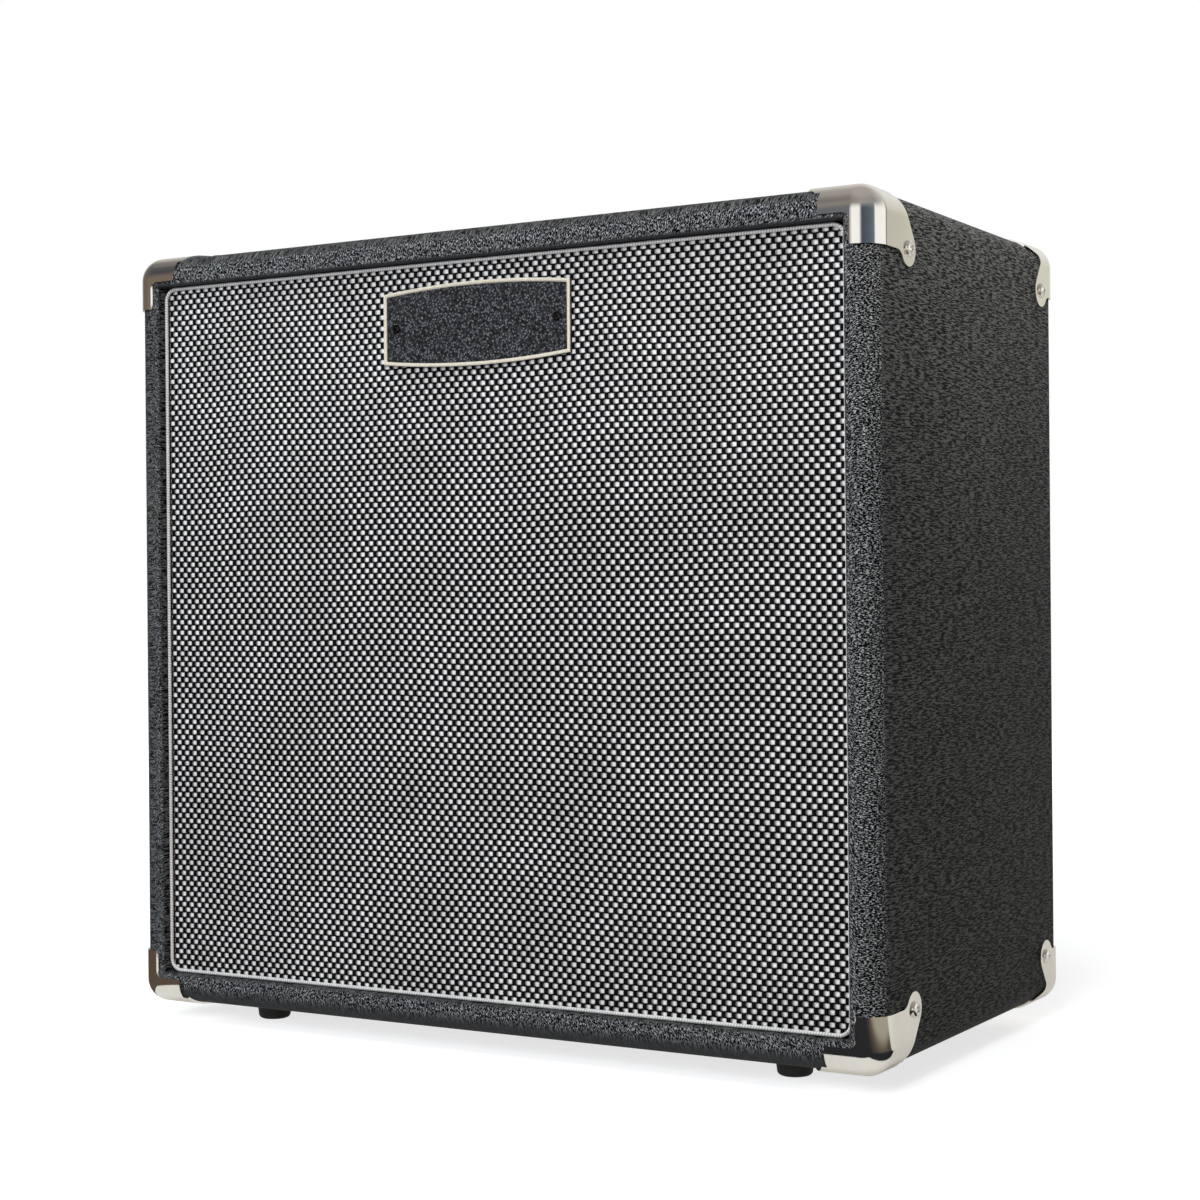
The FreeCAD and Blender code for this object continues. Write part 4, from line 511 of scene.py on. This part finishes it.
pipingLow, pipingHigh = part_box("grille_piping")
pipingRadius = (pipingHigh.y - pipingLow.y) / 2
pipingShape = {
    "halfWide": pipingHigh.x - pipingRadius,
    "halfHigh": (pipingHigh.z - pipingLow.z) / 2 - pipingRadius,
    "middle": (pipingHigh.z + pipingLow.z) / 2,
    "depth": (pipingHigh.y + pipingLow.y) / 2,
    "radius": pipingRadius,
    "corner": 6.5 * mm,
    "lay": 1.5 * mm,  # length of one twist
    "steps": 12,  # round a corner, and round the cord
}


def twistedPiping():
    # a circle of points carried round a rectangle with round corners
    p = pipingShape
    x, z = roundedLoop(p["halfWide"], p["halfHigh"], p["corner"], p["steps"])
    path = np.concatenate([np.concatenate([x, z], 1), [[x[0, 0], z[0, 0]]]])
    length = np.concatenate([[0], np.cumsum(np.linalg.norm(np.diff(path, axis=0), axis=1))])
    outX, outZ = roundedLoop(p["radius"], p["radius"], p["radius"], p["steps"])
    outward = np.concatenate([outX, outZ], 1) / p["radius"]
    outward = np.concatenate([outward, outward[:1]])
    angle = np.linspace(0, 2 * math.pi, p["steps"] + 1)
    ring = np.stack([np.cos(angle), np.sin(angle)], -1) * p["radius"]
    x = path[:, 0, None] + outward[:, 0, None] * ring[None, :, 0]
    z = path[:, 1, None] + outward[:, 1, None] * ring[None, :, 0] + p["middle"]
    y = np.broadcast_to(p["depth"] + ring[None, :, 1], x.shape)
    uv = np.stack(np.meshgrid(length / p["lay"], angle / (2 * math.pi), indexing="ij"), -1)
    return surface("twistedPiping", np.stack([x, y, z], -1)[:-1, :-1], True, True, True, uv)


def pipingFinish():
    # strands that wind round the cord: a wave along u + v, with painted shade in the grooves between them
    material, tree, shader = finish("silverPiping", Metallic=0.35)
    place = add(tree, "SeparateXYZ", Vector=coords(tree, source="UV"))
    lay = maths(tree, "ADD", place.outputs[0], place.outputs[1])
    wave = maths(tree, "PINGPONG", lay, 0.5)
    patch = noise(tree, coords(tree), 120.0, 3.0, 0.6)
    tone = maths(tree, "MULTIPLY_ADD", patch, 0.3, wave)
    # painted shade: the grooves between the strands are painted dark
    silver = ramp(tree, tone, [(0.05, (0.30, 0.29, 0.28)), (0.45, (0.86, 0.83, 0.79))])
    feed(tree, shader, Base_Color=silver)
    feed(tree, shader, Roughness=maths(tree, "MULTIPLY_ADD", wave, -0.25, 0.42))
    bumped(tree, shader, wave, 0.7, 0.0003)
    return material


dress(twistedPiping(), pipingFinish(), "cabinet", ["grille_piping"])
print("piping laid")

# bare badge

badgeLow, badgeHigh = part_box("badge_plate")
badgeShape = {
    "halfWide": badgeHigh.x,
    "endHalf": 18.5 * mm,
    "midHalf": 21.8 * mm,
    "middle": 377 * mm,
    "back": badgeHigh.y,
    "field": badgeHigh.y - 1.5 * mm,
    "near": 0.08 * mm,  # what stands out less than this from the field is painted
    # section of the rim: millimetres in from the edge and up from the back
    "rim": [
        (0, 0), (0, 1.75), (0.12, 2.05), (0.4, 2.2), (0.9, 2.2), (1.4, 2.17), (1.72, 1.95), (1.9, 1.6),
        (2.0, 1.5)],
    "land": 2.4 * mm,  # first line of the field, from the edge
    "lines": 12,
}


def bareBadge():
    # plate with bowed edges: depth follows the distance to the nearest edge, over a rounded rim to the field
    b = badgeShape
    rim, lift = np.array(b["rim"]).T * mm
    step = np.arange(len(rim))

    def spread(half):
        inner = b["land"] + (half - b["land"]) * np.linspace(0, 1, b["lines"])
        inset = np.concatenate([rim, inner])
        rank = np.concatenate([step, np.full(len(inner), len(rim) - 1)])
        return np.concatenate([inset - half, (half - inset)[-2::-1]]), np.concatenate([rank, rank[-2::-1]])

    x, rankX = spread(b["halfWide"])
    crown = b["midHalf"] - b["endHalf"]
    bow = (b["halfWide"] ** 2 + crown**2) / (2 * crown)
    half = b["midHalf"] - (bow - np.sqrt(bow**2 - x**2))
    unit, rankZ = spread(b["midHalf"])
    edgeInset = b["midHalf"] - np.abs(unit)
    rimRow = rankZ < len(rim) - 1
    straight = np.sign(unit)[None] * (half[:, None] - edgeInset[None])
    field = unit[None] / (b["midHalf"] - rim[-1]) * (half[:, None] - rim[-1])
    z = np.where(rimRow[None], straight, field)
    rank = np.minimum(rankX[:, None], rankZ[None])
    y = b["back"] - lift[rank]
    grid = np.stack([np.broadcast_to(x[:, None], z.shape), y, z + b["middle"]], -1)
    return surface("bareBadge", grid)


def badgeFinish():
    # champagne rim on a pebbled black field, told apart by how far a point stands out; the pebbles' tops
    # carry painted glints
    b = badgeShape
    material, tree, shader = finish("badgePlate", Specular_IOR_Level=0.3)
    depth = add(tree, "SeparateXYZ", Vector=coords(tree)).outputs[1]
    field = maths(tree, "GREATER_THAN", depth, b["field"] - b["near"])
    pebble = add(tree, "TexVoronoi", Vector=coords(tree), Scale=820.0).outputs["Distance"]
    fine = noise(tree, coords(tree), 1500.0, 3.0, 0.6)
    # painted highlight: light grey glints on the pebbles' tops, black between them
    fieldWithGlints = ramp(tree, pebble, [
        (0.05, (0.26, 0.255, 0.265)), (0.32, (0.045, 0.045, 0.049)), (0.7, (0.006, 0.006, 0.006))])
    gold = ramp(tree, fine, [(0.35, (0.66, 0.57, 0.44)), (0.65, (0.86, 0.77, 0.62))])
    feed(tree, shader, Base_Color=blendTwo(tree, field, gold, fieldWithGlints))
    feed(tree, shader, Metallic=maths(tree, "MULTIPLY_ADD", field, -0.3, 0.3))
    feed(tree, shader, Roughness=maths(tree, "MULTIPLY_ADD", field, 0.22, 0.28))
    grain = maths(tree, "MULTIPLY", maths(tree, "SUBTRACT", 1.0, pebble), field)
    bumped(tree, shader, maths(tree, "MULTIPLY_ADD", fine, 0.08, grain), 0.8, 0.0004)
    return material


dress(bareBadge(), badgeFinish(), "cabinet", ["badge_plate"])
print("badge made")

# screws with a cross recess

screwShape = {
    "armHalf": 0.16,  # half width of a recess arm, as a share of the head's radius
    "armReach": 0.55,
    "endSlope": 0.06,  # width of the recess's slopes, at its ends and its sides
    "sideSlope": 0.05,
    "sink": 0.5,  # depth of the recess, as a share of the head's height
    "edgeShare": 0.35,  # height of the head's rim, as a share of its height
    "rings": [0.8, 0.88, 0.94, 0.98, 1.0, 1.0],  # outside the recess
    "turns": 48,
}


def screwHeads(name, spots, outward, size, material, stands):
    # head: height = rise * (edge + (1 - edge) * sqrt(1 - rho^2)), less the recess, over a disc
    shape = screwShape
    head, rise = size
    spots, outward = np.array(spots, float), np.array(outward, float)
    lean = np.where(np.abs(outward[:, 2:]) > 0.5, [[1.0, 0, 0]], [[0, 0, 1.0]])
    first = np.cross(lean, outward)
    second = np.cross(outward, first)
    spin = np.random.default_rng(7).uniform(0, math.pi / 2, len(spots))[:, None, None]
    rho = np.concatenate([np.linspace(0, 0.7, 15), shape["rings"]])
    angle = np.linspace(0, 2 * math.pi, shape["turns"] + 1)[:-1]
    a, b = rho[None] * np.cos(angle)[:, None], rho[None] * np.sin(angle)[:, None]
    edge = shape["edgeShare"]
    dome = rise * (edge + (1 - edge) * np.sqrt(np.clip(1 - rho**2, 0, 1)))
    dome[-1] = 0

    def arm(along, across):
        inside = np.clip((shape["armReach"] - np.abs(along)) / shape["endSlope"], 0, 1)
        return inside * np.clip((shape["armHalf"] - np.abs(across)) / shape["sideSlope"], 0, 1)

    height = dome[None] - rise * shape["sink"] * np.maximum(arm(a, b), arm(b, a))
    turnedA = (a * np.cos(spin) - b * np.sin(spin)) * head
    turnedB = (a * np.sin(spin) + b * np.cos(spin)) * head
    spots, first, second, outward = (rows[:, None, None] for rows in (spots, first, second, outward))
    grid = spots + turnedA[..., None] * first + turnedB[..., None] * second
    grid = grid + height[None, :, :, None] * outward
    heads = surface(name, grid, wrapU=True)
    return dress(heads, material, "cabinet", stands)


fasteners = {
    "side": 226.2 * mm,  # face of a protector on the side
    "over": 428.2 * mm,  # on the top
    "under": 9.8 * mm,
    "sheet": 1.2 * mm,  # thickness of a protector
    "frontEar": (-87.0 * mm, 26.8 * mm),  # depth of the ear and its way in from the edge
    "rearEar": (99.8 * mm, 25.8 * mm),
    "frontTop": (187.0 * mm, -98.2 * mm),
    "rearTop": (198.2 * mm, 87.0 * mm),
    "panel": 119.65 * mm,
    "panelSide": 200.4 * mm,
    "panelLevels": (53.7 * mm, 129.7 * mm, 308.3 * mm, 384.3 * mm),
    "panelAcross": 110 * mm,
    "panelEnds": (35.6 * mm, 402.4 * mm),
    "handle": (108 * mm, 436.55 * mm),
    "badge": 49.5 * mm,
    "badgeSeat": 0.05 * mm,  # over the badge's field
    # radius and height of the heads
    "woodHead": (4.0 * mm, 2.1 * mm),
    "handleHead": (5.0 * mm, 2.0 * mm),
    "badgeHead": (2.4 * mm, 1.2 * mm),
}


def allScrews():
    f = fasteners
    spots, ways = [], []
    for side in (-1, 1):
        for depth, inward in (f["frontEar"], f["rearEar"]):
            high, low = f["over"] - f["sheet"] - inward, f["under"] + f["sheet"] + inward
            spots += [(side * f["side"], depth, high), (side * f["side"], depth, low)]
            ways += [(side, 0, 0)] * 2
        for across, depth in (f["frontTop"], f["rearTop"]):
            spots += [(side * across, depth, f["over"]), (side * across, depth, f["under"])]
            ways += [(0, 0, 1), (0, 0, -1)]
    screwHeads("cornerScrews", spots, ways, f["woodHead"], nickel, ["corner_screws"])
    spots = [(side * f["panelSide"], f["panel"], level) for side in (-1, 1) for level in f["panelLevels"]]
    spots += [(side * f["panelAcross"], f["panel"], level) for side in (-1, 1) for level in f["panelEnds"]]
    ways = [(0, 1, 0)] * len(spots)
    screwHeads("backScrews", spots, ways, f["woodHead"], zincSteel, ["back_panel_screws"])
    across, level = f["handle"]
    spots, ways = [(side * across, 0, level) for side in (-1, 1)], [(0, 0, 1)] * 2
    screwHeads("handleScrews", spots, ways, f["handleHead"], nickel, ["handle_screws"])
    depth, level = badgeShape["field"] - f["badgeSeat"], badgeShape["middle"]
    spots, ways = [(side * f["badge"], depth, level) for side in (-1, 1)], [(0, -1, 0)] * 2
    screwHeads("badgeScrews", spots, ways, f["badgeHead"], darkScrew, ["badge_screws"])


allScrews()
print("screws set")

# turned edges of the front lips

lipShape = {
    "side": 225 * mm,  # faces of the covering
    "front": -125 * mm,
    "levels": ((1, 11 * mm), (-1, 427 * mm)),  # way in and face, below and above
    "across": 12 * mm,  # inner edge of the upright leg, from the side
    "down": 13.5 * mm,  # of the level leg, from the top or the bottom
    "corner": 4 * mm,
    "reach": 28.5 * mm,
    "turn": 70,  # degrees of the corner that it follows
    "turnSteps": 9,
    "legSteps": 5,
    # section in millimetres: way in past the edge, height over the covering
    "section": [
        (-0.4, 0.7), (-0.4, 1.12), (0, 1.14), (0.06, 1.12), (1.05, 0.745), (1.12, 0.71), (1.18, 0.62),
        (1.18, 0)],
}


def lipEdges():
    # each runs up the inner edge of a lip's upright leg and fades out round its corner
    s = lipShape
    away, height = np.array(s["section"]).T * mm
    turn = np.radians(np.linspace(0, s["turn"], s["turnSteps"]))
    leg = np.linspace(s["reach"], s["down"] + s["corner"], s["legSteps"] + 1)[:-1]
    even = np.ones(s["legSteps"])
    inward = np.concatenate([s["across"] * even, s["across"] + s["corner"] * (1 - np.cos(turn))])
    down = np.concatenate([leg, s["down"] + s["corner"] * (1 - np.sin(turn))])
    wayIn = np.concatenate([even, np.cos(turn)])
    wayDown = np.concatenate([0 * even, np.sin(turn)])
    share = np.concatenate([[0], even[1:], np.linspace(1, 0, s["turnSteps"])])[:, None]
    reachIn = inward[:, None] + wayIn[:, None] * away * share
    reachDown = down[:, None] + wayDown[:, None] * away * share
    grids = []
    for side in (-1, 1):
        for way, face in s["levels"]:
            x, z = side * (s["side"] - reachIn), face + way * reachDown
            y = np.broadcast_to(s["front"] - height, x.shape)
            grids.append(np.stack([x, y, z], -1)[:: side * way])
    dress(surface("lipEdges", np.array(grids), wrapV=True), nickel, "cabinet")


lipEdges()
print("lip edges turned")

# strap handle: each free end of the strip bends between its cap and the grip

strap = {
    "base": 430 * mm,  # underside of the strip in the caps
    "rise": 8 * mm,
    "chord": 90 * mm,  # half the span between the caps
    "thick": 1 * mm,
    "half": 10 * mm,
    "corner": 0.3 * mm,
    "end": 118.5 * mm,
    "gripEnd": 65.4 * mm,
    "step": 2 * mm,  # into a cap or the grip, where the strip is held
    "freeLines": 25,
    "heldLines": 4,
}


def strapEnd(side):
    # flat bar along an arc through the caps' mouths: z = crown - bow + sqrt(bow^2 - x^2)
    s = strap
    bow = (s["chord"] ** 2 + s["rise"] ** 2) / (2 * s["rise"])
    free = np.linspace(s["gripEnd"], s["chord"], s["freeLines"])
    held = np.linspace(s["chord"] + s["step"], s["end"], s["heldLines"])
    along = np.concatenate([free, held])
    arch = s["rise"] - bow + np.sqrt(bow**2 - np.minimum(along, s["chord"]) ** 2)
    lift = np.where(along < s["chord"], arch, 0)
    x, z = roundedLoop(s["half"], s["thick"] / 2, s["corner"], 3)
    across, up = x[:, 0], z[:, 0] + s["thick"] / 2
    shape = (len(along), len(across))
    grid = np.stack([
        np.broadcast_to(side * along[:, None], shape),
        np.broadcast_to(across[None], shape),
        s["base"] + lift[:, None] + up[None],
    ], -1)
    closing = np.broadcast_to(grid.mean(1, keepdims=True), grid.shape)
    grid = np.concatenate([closing[:1], grid, closing[-1:]])
    name = "strapLeft" if side < 0 else "strapRight"
    end = surface(name, grid, wrapV=True, flip=side < 0)
    dress(end, springSteel, None, ["handle_spring_strip"])
    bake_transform(end)


for side in (-1, 1):
    strapEnd(side)
print("strap fitted")

# cone suspension: an outer half on the basket and an inner half on the cone, one wall sliding in the other

suspension = {
    "middle": 219 * mm,
    "seat": -90.65 * mm,  # depth 0, the back of the baffle
    "rim": (141, 134.2, 1.3),  # outer radius, inner radius and depth of the surround's flat
    "wall": 131.2,
    "land": (128.1, 124.7, 2.65),  # the same of its land on the cone
    "spiderRim": (77.8, 67.2, 61.3),
    "spiderWall": 48.2,
    "spiderLand": (29.2, 26.2, 61.3),
    "pleat": 1.7,
    "pleats": 3,
    "slide": 3.4,  # depth of the walls that slide in one another
    "coneSlide": 4.6,  # of the surround's wall on the cone
    "slack": 0.15,
}


def turned(name, profile, material, body, stands):
    # a profile of (radius, depth) in millimetres, turned about the speaker's axis
    radius, depth = np.array(profile, float).T * mm
    angle = np.linspace(0, 2 * math.pi, 145)[:-1, None]
    x, z = radius * np.cos(angle), radius * np.sin(angle) + suspension["middle"]
    y = np.broadcast_to(suspension["seat"] + depth, x.shape)
    return dress(surface(name, np.stack([x, y, z], -1), wrapU=True), material, body, [stands])


def coneSuspension():
    s = suspension
    outer, inner, depth = s["rim"]
    wall = s["wall"]
    roll = arc((inner + wall) / 2, depth, (inner - wall) / 2, 0, -180, 12)
    profile = [(outer, depth), (inner, depth), *roll[1:], (wall, depth + s["slide"])]
    turned("surroundOuter", profile, surroundCloth, "cabinet", "surround")
    outer, inner, depth = s["land"]
    wall = wall - s["slack"]
    bend = wall - outer
    profile = [(wall, depth - s["coneSlide"]), *arc(outer, depth - bend, bend, 0, 90, 8), (inner, depth)]
    turned("surroundInner", profile, surroundCloth, "cone", "surround")
    outer, inner, depth = s["spiderRim"]
    wall = s["spiderWall"]
    step = np.linspace(0, 1, 40)
    wave = s["pleat"] * np.sin(2 * math.pi * s["pleats"] * step)
    pleats = np.stack([inner + (wall - inner) * step, depth + wave], -1)
    profile = [(outer, depth), *pleats, (wall, depth + s["slide"])]
    turned("spiderOuter", profile, spiderCloth, "cabinet", "spider")
    outer, inner, depth = s["spiderLand"]
    wall = wall - s["slack"]
    pleats = np.stack([wall + (outer - wall) * step, depth + wave], -1)
    profile = [(wall, depth - s["slide"]), *pleats, (inner, depth)]
    turned("spiderInner", profile, spiderCloth, "cone", "spider")


tinsel = {
    "points": [(11.05, -55.5, 112.6), (25, -55.5, 112.6), (17, -47, 136), (11.05, -55.2, 148.0)],
    "radius": 0.7 * mm,
    "still": 8 * mm,  # how far up it stays with the terminal
    "tail": 6 * mm,  # how far down it goes with the cone
    "steps": 28,
}


def tinselLead(side):
    # braid from the terminal to the cone: a cubic curve by four points, with a circle carried along it
    points = np.array(tinsel["points"]) * mm
    points = points * [side, 1, 1]
    t = np.linspace(0, 1, tinsel["steps"])[:, None]
    basis = np.concatenate([(1 - t) ** 3, 3 * t * (1 - t) ** 2, 3 * t**2 * (1 - t), t**3], 1)
    line = basis @ points
    ahead = np.gradient(line, axis=0)
    ahead = ahead / np.linalg.norm(ahead, axis=1, keepdims=True)
    first = np.cross(ahead, [0, 1.0, 0])
    first = first / np.linalg.norm(first, axis=1, keepdims=True)
    second = np.cross(ahead, first)
    angle = np.linspace(0, 2 * math.pi, 13)[:-1]
    ring = first[:, None] * np.cos(angle)[:, None] + second[:, None] * np.sin(angle)[:, None]
    name = "tinselLeft" if side < 0 else "tinselRight"
    lead = surface(name, line[:, None] + tinsel["radius"] * ring, wrapV=True)
    dress(lead, tinselBraid, None, ["tinsel_leads"])
    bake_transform(lead)


coneSuspension()
for side in (-1, 1):
    tinselLead(side)
print("cone hung")

# plain CAD nodes and their finishes

nodeFinish = {
    plywood: ["top_panel", "bottom_panel"],
    sidePlywood: ["left_side_panel", "right_side_panel"],
    softwood: ["baffle_battens", "back_battens", "grille_rails", "grille_stiles"],
    blackBoard: ["baffle_board", "upper_back_panel", "lower_back_panel"],
    panelVinyl: ["back_panel_vinyl"],
    nickel: [name for name in nodes if name.startswith("corner_")]
    + ["handle_cap_left", "handle_cap_right", "handle_screws"],
    rubber: [name for name in nodes if name.startswith("foot_") and name != "foot_screws"] + ["handle_grip"],
    zincSteel: ["foot_screws", "baffle_screws", "speaker_bolts", "speaker_tee_nuts", "magnet_top_plate",
                "magnet_yoke", "back_panel_screws", "jack_nut"],
    padFelt: ["hook_and_loop_pads"],
    darkScrew: ["badge_screws"],
    basketPaint: ["speaker_basket"],
    gasketFoam: ["speaker_gasket"],
    conePaper: ["cone"],
    capPaper: ["dust_cap"],
    formerPaper: ["voice_coil_former"],
    copper: ["voice_coil"],
    surroundCloth: ["surround"],
    spiderCloth: ["spider"],
    ferrite: ["magnet_ring"],
    fibreBoard: ["terminal_board"],
    tinselBraid: ["tinsel_leads"],
    jackPlastic: ["jack_socket"],
    redSleeve: ["speaker_lead_red"],
    blackSleeve: ["speaker_lead_black"],
    springSteel: ["handle_spring_strip"],
}
for material, names in nodeFinish.items():
    for name in names:
        dress(nodes[name], material)
print("CAD nodes finished:", sum(len(names) for names in nodeFinish.values()))

# camera as in the photograph

cameraSet = {
    "place": (641.66 * mm, -1086.95 * mm, 235.59 * mm),
    "yaw": 30.4354,
    "pitch": -0.0833,
    "roll": -0.4738,
    "lens": 67.585,
    "sensor": 36,  # square
}


def makeCamera():
    c = cameraSet
    yaw, pitch, roll = (math.radians(c[key]) for key in ("yaw", "pitch", "roll"))
    ahead = np.array([-math.sin(yaw) * math.cos(pitch), math.cos(yaw) * math.cos(pitch), math.sin(pitch)])
    level = np.array([math.cos(yaw), math.sin(yaw), 0.0])
    upright = np.cross(level, ahead)
    right = level * math.cos(roll) + upright * math.sin(roll)
    up = upright * math.cos(roll) - level * math.sin(roll)
    data = bpy.data.cameras.new("photoCamera")
    data.sensor_width, data.lens = c["sensor"], c["lens"]
    data.clip_start, data.clip_end = 0.01, 100
    camera = bpy.data.objects.new("photoCamera", data)
    matrix = np.eye(4)
    matrix[:3, 0], matrix[:3, 1], matrix[:3, 2], matrix[:3, 3] = right, up, -ahead, c["place"]
    camera.matrix_world = Matrix(matrix.tolist())
    bpy.context.scene.collection.objects.link(camera)
    bpy.context.scene.camera = camera


makeCamera()

# studio: white sweep behind, darker room behind the camera, soft boxes

studio = {
    "floorHalf": 8.0,
    "floorTint": (0.45, 0.45, 0.45, 1),
    "floorGlow": (0.74, 1.0),  # near the object and far from it
    "floorReach": (0.6, 2.0),  # metres from the middle to those two
    "floorSpan": 4.0,  # the ramp between them ends here
    # polished metal sees the floor glow, tinted warm: a painted reflection
    "floorMirrored": 0.4,  # share of the glow that polished metal sees
    "floorWarm": (1.0, 0.93, 0.79),  # its colour there
    "fill": 0.10,  # share of the room's light that reaches matt surfaces
    # what polished metal sees round the room at its own height: bearing from the front to the right, colour
    "level": [
        (-180, (0.85, 0.85, 0.83)), (-135, (0.65, 0.64, 0.62)), (-100, (0.16, 0.13, 0.11)),
        (-70, (0.16, 0.125, 0.10)), (-56, (0.20, 0.155, 0.115)), (-38, (0.19, 0.15, 0.115)),
        (-31, (0.07, 0.08, 0.10)), (-23, (0.14, 0.15, 0.18)), (-14, (1.0, 1.0, 1.0)), (16, (1.0, 1.0, 1.0)),
        (27, (0.07, 0.08, 0.11)), (60, (0.10, 0.13, 0.17)), (80, (0.16, 0.19, 0.22)), (85, (1.0, 1.0, 1.0)),
        (146, (1.0, 1.0, 1.0)), (149, (0.16, 0.15, 0.13)), (153, (0.22, 0.21, 0.19)),
        (158, (0.66, 0.65, 0.57)), (180, (0.85, 0.85, 0.83))],
    "above": [
        (-180, (0.80, 0.79, 0.76)), (-130, (0.55, 0.53, 0.50)), (-100, (0.16, 0.15, 0.15)),
        (-48, (0.07, 0.07, 0.08)), (-36, (0.20, 0.18, 0.17)), (-28, (0.26, 0.24, 0.22)),
        (20, (0.34, 0.32, 0.30)), (90, (0.30, 0.30, 0.30)), (150, (0.60, 0.60, 0.58)),
        (180, (0.80, 0.79, 0.76))],
    "toAbove": [(0.20, 0.0), (0.50, 1.0)],  # share by the height of the sight line
    "ceiling": (0.40, 0.38, 0.36),
    "toCeiling": [(0.70, 0.0), (0.95, 1.0)],
}


def makeFloor():
    half = studio["floorHalf"]
    step = np.linspace(-half, half, 3)
    grid = np.stack(np.meshgrid(step, step, [0.0], indexing="ij"), -1)[:, :, 0]
    floor = surface("paleFloor", grid)
    material, tree, shader = finish("paleFloor", Roughness=0.9, Specular_IOR_Level=0.1)
    shader.inputs["Base Color"].default_value = studio["floorTint"]
    path = add(tree, "LightPath")
    mirrored = path.outputs["Is Glossy Ray"]
    seen = maths(tree, "MULTIPLY_ADD", mirrored, studio["floorMirrored"], path.outputs["Is Camera Ray"])
    seen = maths(tree, "MAXIMUM", seen, path.outputs["Is Transmission Ray"])
    away = add(tree, "VectorMath", {"operation": "LENGTH"}, i0=coords(tree)).outputs["Value"]
    span = studio["floorSpan"]
    stops = [(reach / span, glow) for reach, glow in zip(studio["floorReach"], studio["floorGlow"])]
    level = ramp(tree, maths(tree, "MULTIPLY", away, 1 / span), stops)
    # painted reflection: the glow turns warm where polished metal sees it
    warm = blendTwo(tree, mirrored, (1, 1, 1), studio["floorWarm"])
    glow = add(tree, "Emission", Color=warm, Strength=maths(tree, "MULTIPLY", seen, level))
    both = add(tree, "AddShader", i0=shader.outputs[0], i1=glow.outputs[0])
    tree.links.new(both.outputs[0], tree.nodes["Material Output"].inputs[0])
    floor.data.materials.append(material)


black = (0.02, 0.02, 0.022)
flagShape = {
    "near": -1.6,
    # the far edge: place across, depth
    "far": [
        (-1.2, 0.5), (-0.27, 0.5), (-0.235, -0.155), (-0.234, -0.6), (-0.10, -0.6), (-0.099, -0.155),
        (0.236, -0.155), (0.26, -0.03), (0.95, -0.03)],
    "height": 2 * mm,
    # place across plus 0.5, colour of the painted reflection
    "mirroredTones": [
        (0.35, (0.10, 0.067, 0.048)), (0.55, black), (0.79, black), (0.835, (0.10, 0.072, 0.052)),
        (0.87, (0.36, 0.32, 0.25))],
}


def makeFlag():
    # cloth on the floor in front, black with brown ends, which only polished metal sees, as a painted
    # reflection
    s = flagShape
    x, far = np.array(s["far"]).T
    y = np.stack([np.full(len(x), s["near"]), far], -1)
    flag = surface("blackFlag", np.stack(np.broadcast_arrays(x[:, None], y, s["height"]), -1))
    material, tree, shader = finish("blackFlag", Roughness=0.9, Specular_IOR_Level=0.0)
    across = add(tree, "SeparateXYZ", Vector=coords(tree)).outputs[0]
    feed(tree, shader, Base_Color=ramp(tree, maths(tree, "ADD", across, 0.5), s["mirroredTones"]))
    flag.data.materials.append(material)
    flag.visible_camera = flag.visible_diffuse = flag.visible_shadow = flag.visible_transmission = False


def makeWorld():
    world = bpy.data.worlds.new("studio")
    bpy.context.scene.world = world
    world.use_nodes = True
    tree = world.node_tree
    back = tree.nodes["Background"]
    place = add(tree, "SeparateXYZ", Vector=add(tree, "TexCoord").outputs["Generated"])
    bearing = maths(tree, "ARCTAN2", place.outputs[0], maths(tree, "MULTIPLY", place.outputs[1], -1.0))
    share = maths(tree, "MULTIPLY_ADD", bearing, 0.5 / math.pi, 0.5)
    level, above = (
        ramp(tree, share, [((angle + 180) / 360, colour) for angle, colour in studio[key]])
        for key in ("level", "above"))
    room = blendTwo(tree, ramp(tree, place.outputs[2], studio["toAbove"]), level, above)
    room = blendTwo(tree, ramp(tree, place.outputs[2], studio["toCeiling"]), room, studio["ceiling"])
    path = add(tree, "LightPath")
    colour = blendTwo(tree, path.outputs["Is Camera Ray"], room, (1, 1, 1))
    tree.links.new(colour, back.inputs["Color"])
    spread = maths(tree, "MULTIPLY_ADD", path.outputs["Is Diffuse Ray"], studio["fill"] - 1.0, 1.0)
    tree.links.new(spread, back.inputs["Strength"])


def softBox(name, place, aim, wide, high, watts, colour=(1, 1, 1)):
    data = bpy.data.lights.new(name, "AREA")
    data.shape, data.size, data.size_y, data.energy, data.color = "RECTANGLE", wide, high, watts, colour
    lamp = bpy.data.objects.new(name, data)
    away = np.array(place) - np.array(aim)
    away = away / np.linalg.norm(away)
    side = np.cross([0, 0, 1], away)
    side = side / np.linalg.norm(side)
    matrix = np.eye(4)
    matrix[:3, 0], matrix[:3, 1], matrix[:3, 2], matrix[:3, 3] = side, np.cross(away, side), away, place
    lamp.matrix_world = Matrix(matrix.tolist())
    lamp.visible_glossy = False  # the room's own colours stand for it in polished metal
    bpy.context.scene.collection.objects.link(lamp)


lamps = {  # place, aim, width, height, watts and colour
    "keyBox": ((0.60, -2.2, 1.25), (0, -0.1, 0.25), 0.7, 1.2, 42),
    "topBox": ((-0.3, -1.1, 2.4), (0, 0, 0.2), 1.6, 1.2, 42, (0.87, 0.94, 1.0)),
    "sideBox": ((0.345, 0.0, 0.50), (0.225, 0, 0.38), 0.32, 0.05, 0.42),  # close to the right side's top
    "leftBox": ((-1.3, -2.2, 1.0), (-0.2, -0.1, 0.25), 0.8, 1.2, 16, (0.48, 0.70, 1.0)),
    "backBox": ((-0.7, 2.3, 1.3), (0, 0.1, 0.22), 1.2, 1.2, 26),
}
makeFloor()
makeFlag()
makeWorld()
for name, settings in lamps.items():
    softBox(name, *settings)
bpy.context.scene.view_settings.view_transform = "Standard"
print("studio lit")

bpy.context.view_layer.update()
